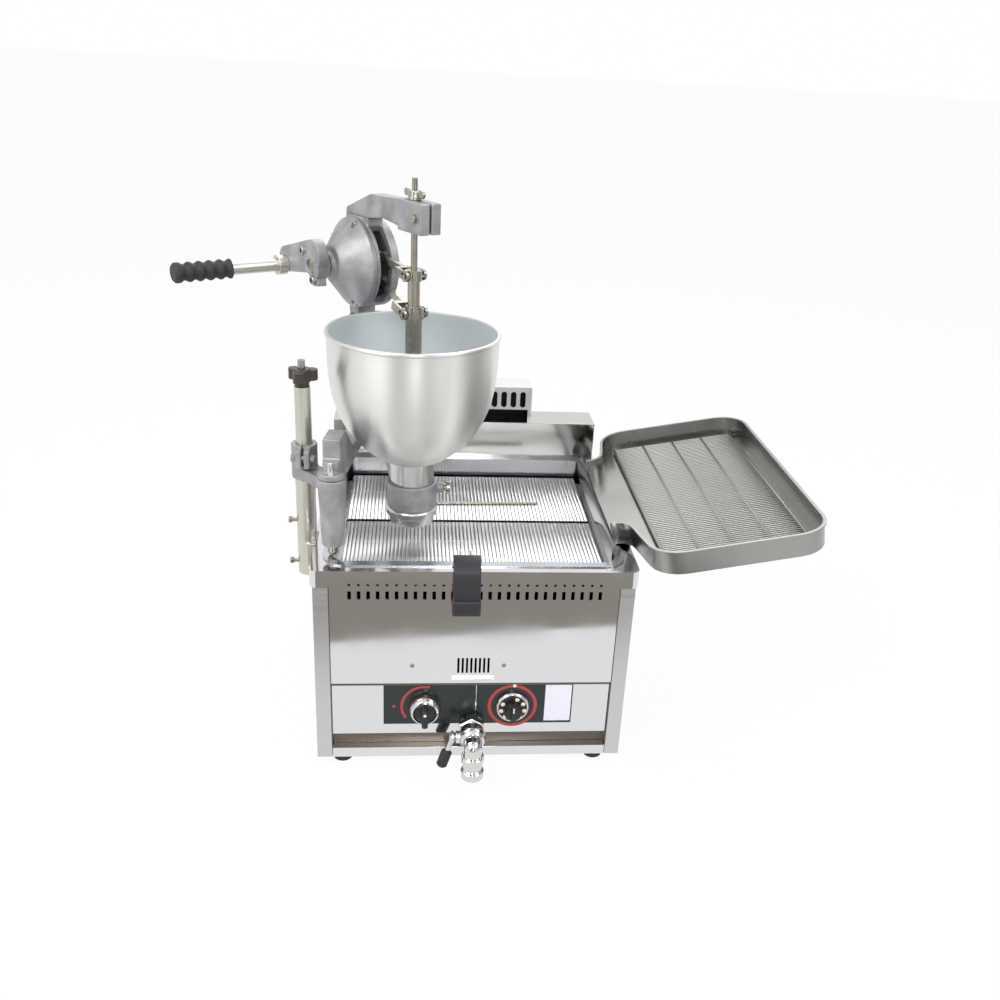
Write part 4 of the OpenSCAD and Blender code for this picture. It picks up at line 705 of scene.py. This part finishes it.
def buildRack(k):
    count = int(2 * (k["halfWidth"] - k["endGap"]) // k["pitch"])
    wireZ = k["foot"] + 2 * k["rodR"] + k["wireRaise"] * k["wireR"]
    first = -count * k["pitch"] / 2
    wires = repeat(bar(k["wireR"], (k["x"][0], first, wireZ), (k["x"][1], first, wireZ), 8),
                   count + 1, (0, k["pitch"], 0))
    gap = (k["x"][1] - k["x"][0] - 2 * k["rodR"]) / (k["rods"] - 1)
    rodZ = k["foot"] + k["rodR"] + k["rodRaise"]
    rods = repeat(bar(k["rodR"], (k["x"][0] + k["rodR"], -k["halfWidth"], rodZ),
                      (k["x"][0] + k["rodR"], k["halfWidth"], rodZ), 12), k["rods"], (gap, 0, 0))
    tilted = (Matrix.Translation(Vector(k["trayPlace"]) * mm)
              @ Matrix.Rotation(math.radians(-k["tilt"]), 4, "Y"))
    wires.matrix_world = tilted
    rods.matrix_world = tilted
    settle(wires, "drainingRack", "rack", "rackWire", ["tray_rack"], 50)
    settle(rods, "rackRods", "rack", "rackRod", (), 50)


buildRack(rack)
print("rack strung")


def shifted(place, by):
    return [p + q for p, q in zip(place, by)]


# Controls on the front, all around the two knob axes
controls = {
    "faceY": -245.4, "plateY": -245.0, "z": 101, "gasX": -69, "dialX": 60,
    "ringR": (31.8, 36.6), "arcR": (31.8, 35.6), "arcFrom": 78, "arcTo": 216,
    "markR": 17.2, "marks": 8, "markFrom": 70, "markSweep": 280, "markY": -9.1,
    "gasHub": [(4, 0), (16.9, 0), (16.9, 16), (16.2, 18.5), (14, 20.5), (9, 21.6), (0.3, 21.8)],
    "gasDot": [(2.2, 0), (2.2, 0.5), (1.6, 0.9), (0.2, 1.0)],
    "dialSkirt": [(4, 0), (20.9, 0), (20.9, 7), (20.2, 8.6), (18.5, 9.2), (13.5, 9.2), (13.2, 19),
                  (12.4, 21), (10, 22), (0.3, 22.2)],
    "dialMark": [(3.2, 0), (3.2, 0.3), (2.7, 0.6), (0.2, 0.7)],
    "plateDot": [(2.4, 0), (2.4, 0.2), (2.0, 0.35), (0.2, 0.35)],
    "indexMark": [(2.6, 0), (2.6, 0.3), (2.2, 0.5), (0.2, 0.5)],
    # from the knob's place: low corner, high corner, edge
    "paddle": ((-4.5, -37, -15), (4.5, -18, 15), 3.2),
    "dialRidge": ((-4, -26, -13.6), (4, -9, 13.6), 2.4),
    "pointer": ((-0.9, -26.4, 4), (0.9, -25.8, 12.5), 0.25),
    "gasDotPlace": (0, -36.9, 9), "plateDotPlace": (-45, 0, 0), "indexPlace": (2, -0.3, 34.8),
    "ink": 0.3, "labelX": (108, 147), "labelZ": (74, 137), "labelThick": 0.35, "labelEdge": 0.15,
}


def knobBlock(place, shape, segments):
    low, high, edge = shape
    return block(shifted(place, low), shifted(place, high), edge, segments)


def buildGasKnob(c):
    place = (c["gasX"], c["faceY"], c["z"])
    hub = faceFront(turned(c["gasHub"], 64), *place)
    paddle = knobBlock(place, c["paddle"], 4)
    settle(joined([hub, paddle]), "gasKnob", "gas_control", "knob", ["gas_knob"], 40)
    dot = faceFront(turned(c["gasDot"], 24), *shifted(place, c["gasDotPlace"]))
    settle(dot, "gasKnobDot", "gas_control", "cream")


def buildDial(c):
    place = (c["dialX"], c["faceY"], c["z"])
    skirt = faceFront(turned(c["dialSkirt"], 72), *place)
    ridge = knobBlock(place, c["dialRidge"], 3)
    settle(joined([skirt, ridge]), "thermostatDial", "thermostat_control", "knob", ["thermostat_dial"], 40)
    marks = []
    for i in range(c["marks"]):
        a = math.radians(c["markFrom"] - i * c["markSweep"] / (c["marks"] - 1))
        offset = (c["markR"] * math.cos(a), c["markY"], c["markR"] * math.sin(a))
        marks.append(faceFront(turned(c["dialMark"], 20), *shifted(place, offset)))
    pointer = knobBlock(place, c["pointer"], 2)
    settle(joined(marks + [pointer]), "dialMarks", "thermostat_control", "cream")


def printedRing(c, radii, x):
    (r0, r1), ink = radii, c["ink"]
    outline = [(r0, 0), (r0, ink), (r1, ink), (r1, 0), (r0, 0)]
    return faceFront(turned(outline, 96), x, c["plateY"], c["z"])


def cutSector(piece, x, z, angle, keepLeft):
    # trims a printed ring along a ray from its middle
    pick(piece)
    a = math.radians(angle)
    side = 1 if keepLeft else -1
    bpy.ops.object.mode_set(mode="EDIT")
    bpy.ops.mesh.select_all(action="SELECT")
    bpy.ops.mesh.bisect(plane_co=(x * mm, 0, z * mm), plane_no=(-side * math.sin(a), 0, side * math.cos(a)),
                        use_fill=True, clear_inner=True)
    bpy.ops.object.mode_set(mode="OBJECT")


def buildPrint(c):
    gasPlace = (c["gasX"], c["plateY"], c["z"])
    dialPlace = (c["dialX"], c["plateY"], c["z"])
    settle(printedRing(c, c["ringR"], c["dialX"]), "dialRingPrint", "cabinet", "red")
    arc = printedRing(c, c["arcR"], c["gasX"])
    cutSector(arc, c["gasX"], c["z"], c["arcFrom"], True)
    cutSector(arc, c["gasX"], c["z"], c["arcTo"], False)
    dot = faceFront(turned(c["plateDot"], 24), *shifted(gasPlace, c["plateDotPlace"]))
    settle(joined([arc, dot]), "gasArcPrint", "cabinet", "red")
    mark = faceFront(turned(c["indexMark"], 24), *shifted(dialPlace, c["indexPlace"]))
    settle(mark, "dialIndexMark", "cabinet", "cream")
    (x0, x1), (z0, z1) = c["labelX"], c["labelZ"]
    label = block((x0, c["plateY"] - c["labelThick"], z0), (x1, c["plateY"], z1), c["labelEdge"], 1)
    settle(label, "blankLabel", "cabinet", "label")


buildGasKnob(controls)
buildDial(controls)
buildPrint(controls)
print("controls dressed")

# Small fasteners on the front panel
panelScrews = {
    "places": ((-88, 173), (44, 173)), "faceY": -248, "radius": 3.3,
    # share of the radius, height
    "profile": [(1, 0), (1, 0.5), (0.86, 1.3), (0.5, 1.8), (0.42, 1.8), (0.4, 1.0), (0.05, 1.0)],
}


def buildPanelScrews(k):
    profile = [(share * k["radius"], height) for share, height in k["profile"]]
    heads = [faceFront(turned(profile, 32), x, k["faceY"], z) for x, z in k["places"]]
    settle(joined(heads), "panelScrews", "cabinet", "nickel")


buildPanelScrews(panelScrews)
print("panel screws set")

# Painted shade round the control panel: a dark strip in the recess under it, a dark line in the gap over it
# and dark seams beside the columns
joints = {
    "strip": ((-203, -234.7, 30.6), (203, -234.2, 52.4)),
    "shadeLine": ((-203, -245.3, 137.6), (203, -244.2, 142.8)),
    "seams": [((-204.7, -248.3, 31), (-203.2, -247.7, 299)), ((203.2, -248.3, 31), (204.7, -247.7, 299))],
    "edge": 0.15,
}


def buildJoints(k):
    # painted shade: these dark blocks stand in for the shade in the recess, the gap over the panel and the
    # seams
    settle(block(*k["strip"], k["edge"], 1), "recessStrip", "cabinet", "recess")
    dark = [block(low, high, k["edge"], 1) for low, high in [k["shadeLine"]] + k["seams"]]
    settle(joined(dark), "panelShadeLines", "cabinet", "recess")


buildJoints(joints)
print("joints darkened")

# Drain: union nut, body shell and spout collars over the valve; lever with its sleeve splayed to the left
drain = {
    "axisZ": 70, "nutY": -252, "spoutY": -306,
    "nut": [(12, 0), (19, 0), (20.5, 1.5), (20.5, 11.5), (19, 13), (12, 13)],
    "shell": [(14, 13), (17, 14), (19.4, 20), (19.8, 27), (19.2, 33), (16.4, 40), (13.5, 42)],
    "collars": [
        [(12, 47), (15.4, 47), (16.4, 48), (16.4, 57), (15.4, 58), (12, 58)],
        [(10, 21.5), (15.6, 21.5), (16.6, 22.5), (16.6, 33), (15.6, 34), (12, 34)],
    ],
    "hub": (9, (-24.6, -278, 70), (-33, -278, 70)),
    "arm": (4, (-29, -278, 68), (-37, -281, 45)),
    "sleeve": (8, (-35.6, -280.5, 49), (-44.5, -284, 23)),
}


def buildDrain(d):
    nut = faceFront(turned(d["nut"], 6), 0, d["nutY"], d["axisZ"])
    settle(nut, "drainUnion", "cabinet", "chrome", (), 30)
    shell = faceFront(turned(d["shell"], 64), 0, d["nutY"], d["axisZ"])
    collars = [turned(profile, 64) for profile in d["collars"]]
    for collar in collars:
        collar.location = (0, d["spoutY"] * mm, 0)
        bakePlace(collar)
    settle(joined([shell] + collars), "drainCollars", "cabinet", "chrome", (), 40)
    arm = joined([bar(*d["hub"], 40), bar(*d["arm"], 24)])
    settle(arm, "drainLeverArm", "drain_handle", "chrome", (), 40)
    settle(bar(*d["sleeve"], 32), "drainLeverSleeve", "drain_handle", "rubber", ["drain_lever"], 40)


buildDrain(drain)
print("drain dressed")

# Thick lower end of the lifter grip
gripRidge = {"low": (-34, -271.5, 266.5), "high": (6, -257, 290), "edge": 3}
ridge = block(gripRidge["low"], gripRidge["high"], gripRidge["edge"], 4)
settle(ridge, "lifterRidge", "lifting_screen", "slate")
print("lifter grip finished")

# Fasteners of the head, in its own frame: u from the housing to the rod, v across, z up
headFrame = {"axis": (-91, -93), "yaw": -58, "crankU": -136, "crankZ": 692, "crankDrop": 8}
headBolts = {
    "profile": [(6.4, 0), (6.4, 5), (5.4, 6.2), (3.4, 6.2), (3.2, 2.5), (0.3, 2.5)],
    "places": [(-14, -86.4, 21), (0, -81.6, -20)],  # from the crank shaft, before the arm's drop
    "pin": [(4.6, 0), (4.6, 17), (3.8, 18.4), (0.3, 18.6)],
    "pinPlace": (-199, -216, 453),
}


def buildHeadBolts(k, f):
    turn = Matrix.Rotation(math.radians(f["yaw"]), 4, "Z")
    drop = Matrix.Rotation(math.radians(-f["crankDrop"]), 4, "Y")
    axis = Matrix.Translation(Vector((f["axis"][0], f["axis"][1], 0)) * mm)
    shaft = Matrix.Translation(Vector((f["crankU"], 0, f["crankZ"])) * mm)
    heads = []
    for place in k["places"]:
        head = turned(k["profile"], 40)
        head.matrix_world = (axis @ turn @ shaft @ drop @ Matrix.Translation(Vector(place) * mm)
                             @ Matrix.Rotation(math.radians(90), 4, "X"))
        bakePlace(head)
        heads.append(head)
    settle(joined(heads), "crankBolts", "crank", "nickel", (), 40)
    pin = turned(k["pin"], 32)
    pin.location = Vector(k["pinPlace"]) * mm
    settle(pin, "swingPin", "head", "chrome", (), 40)


buildHeadBolts(headBolts, headFrame)
print("head fasteners set")
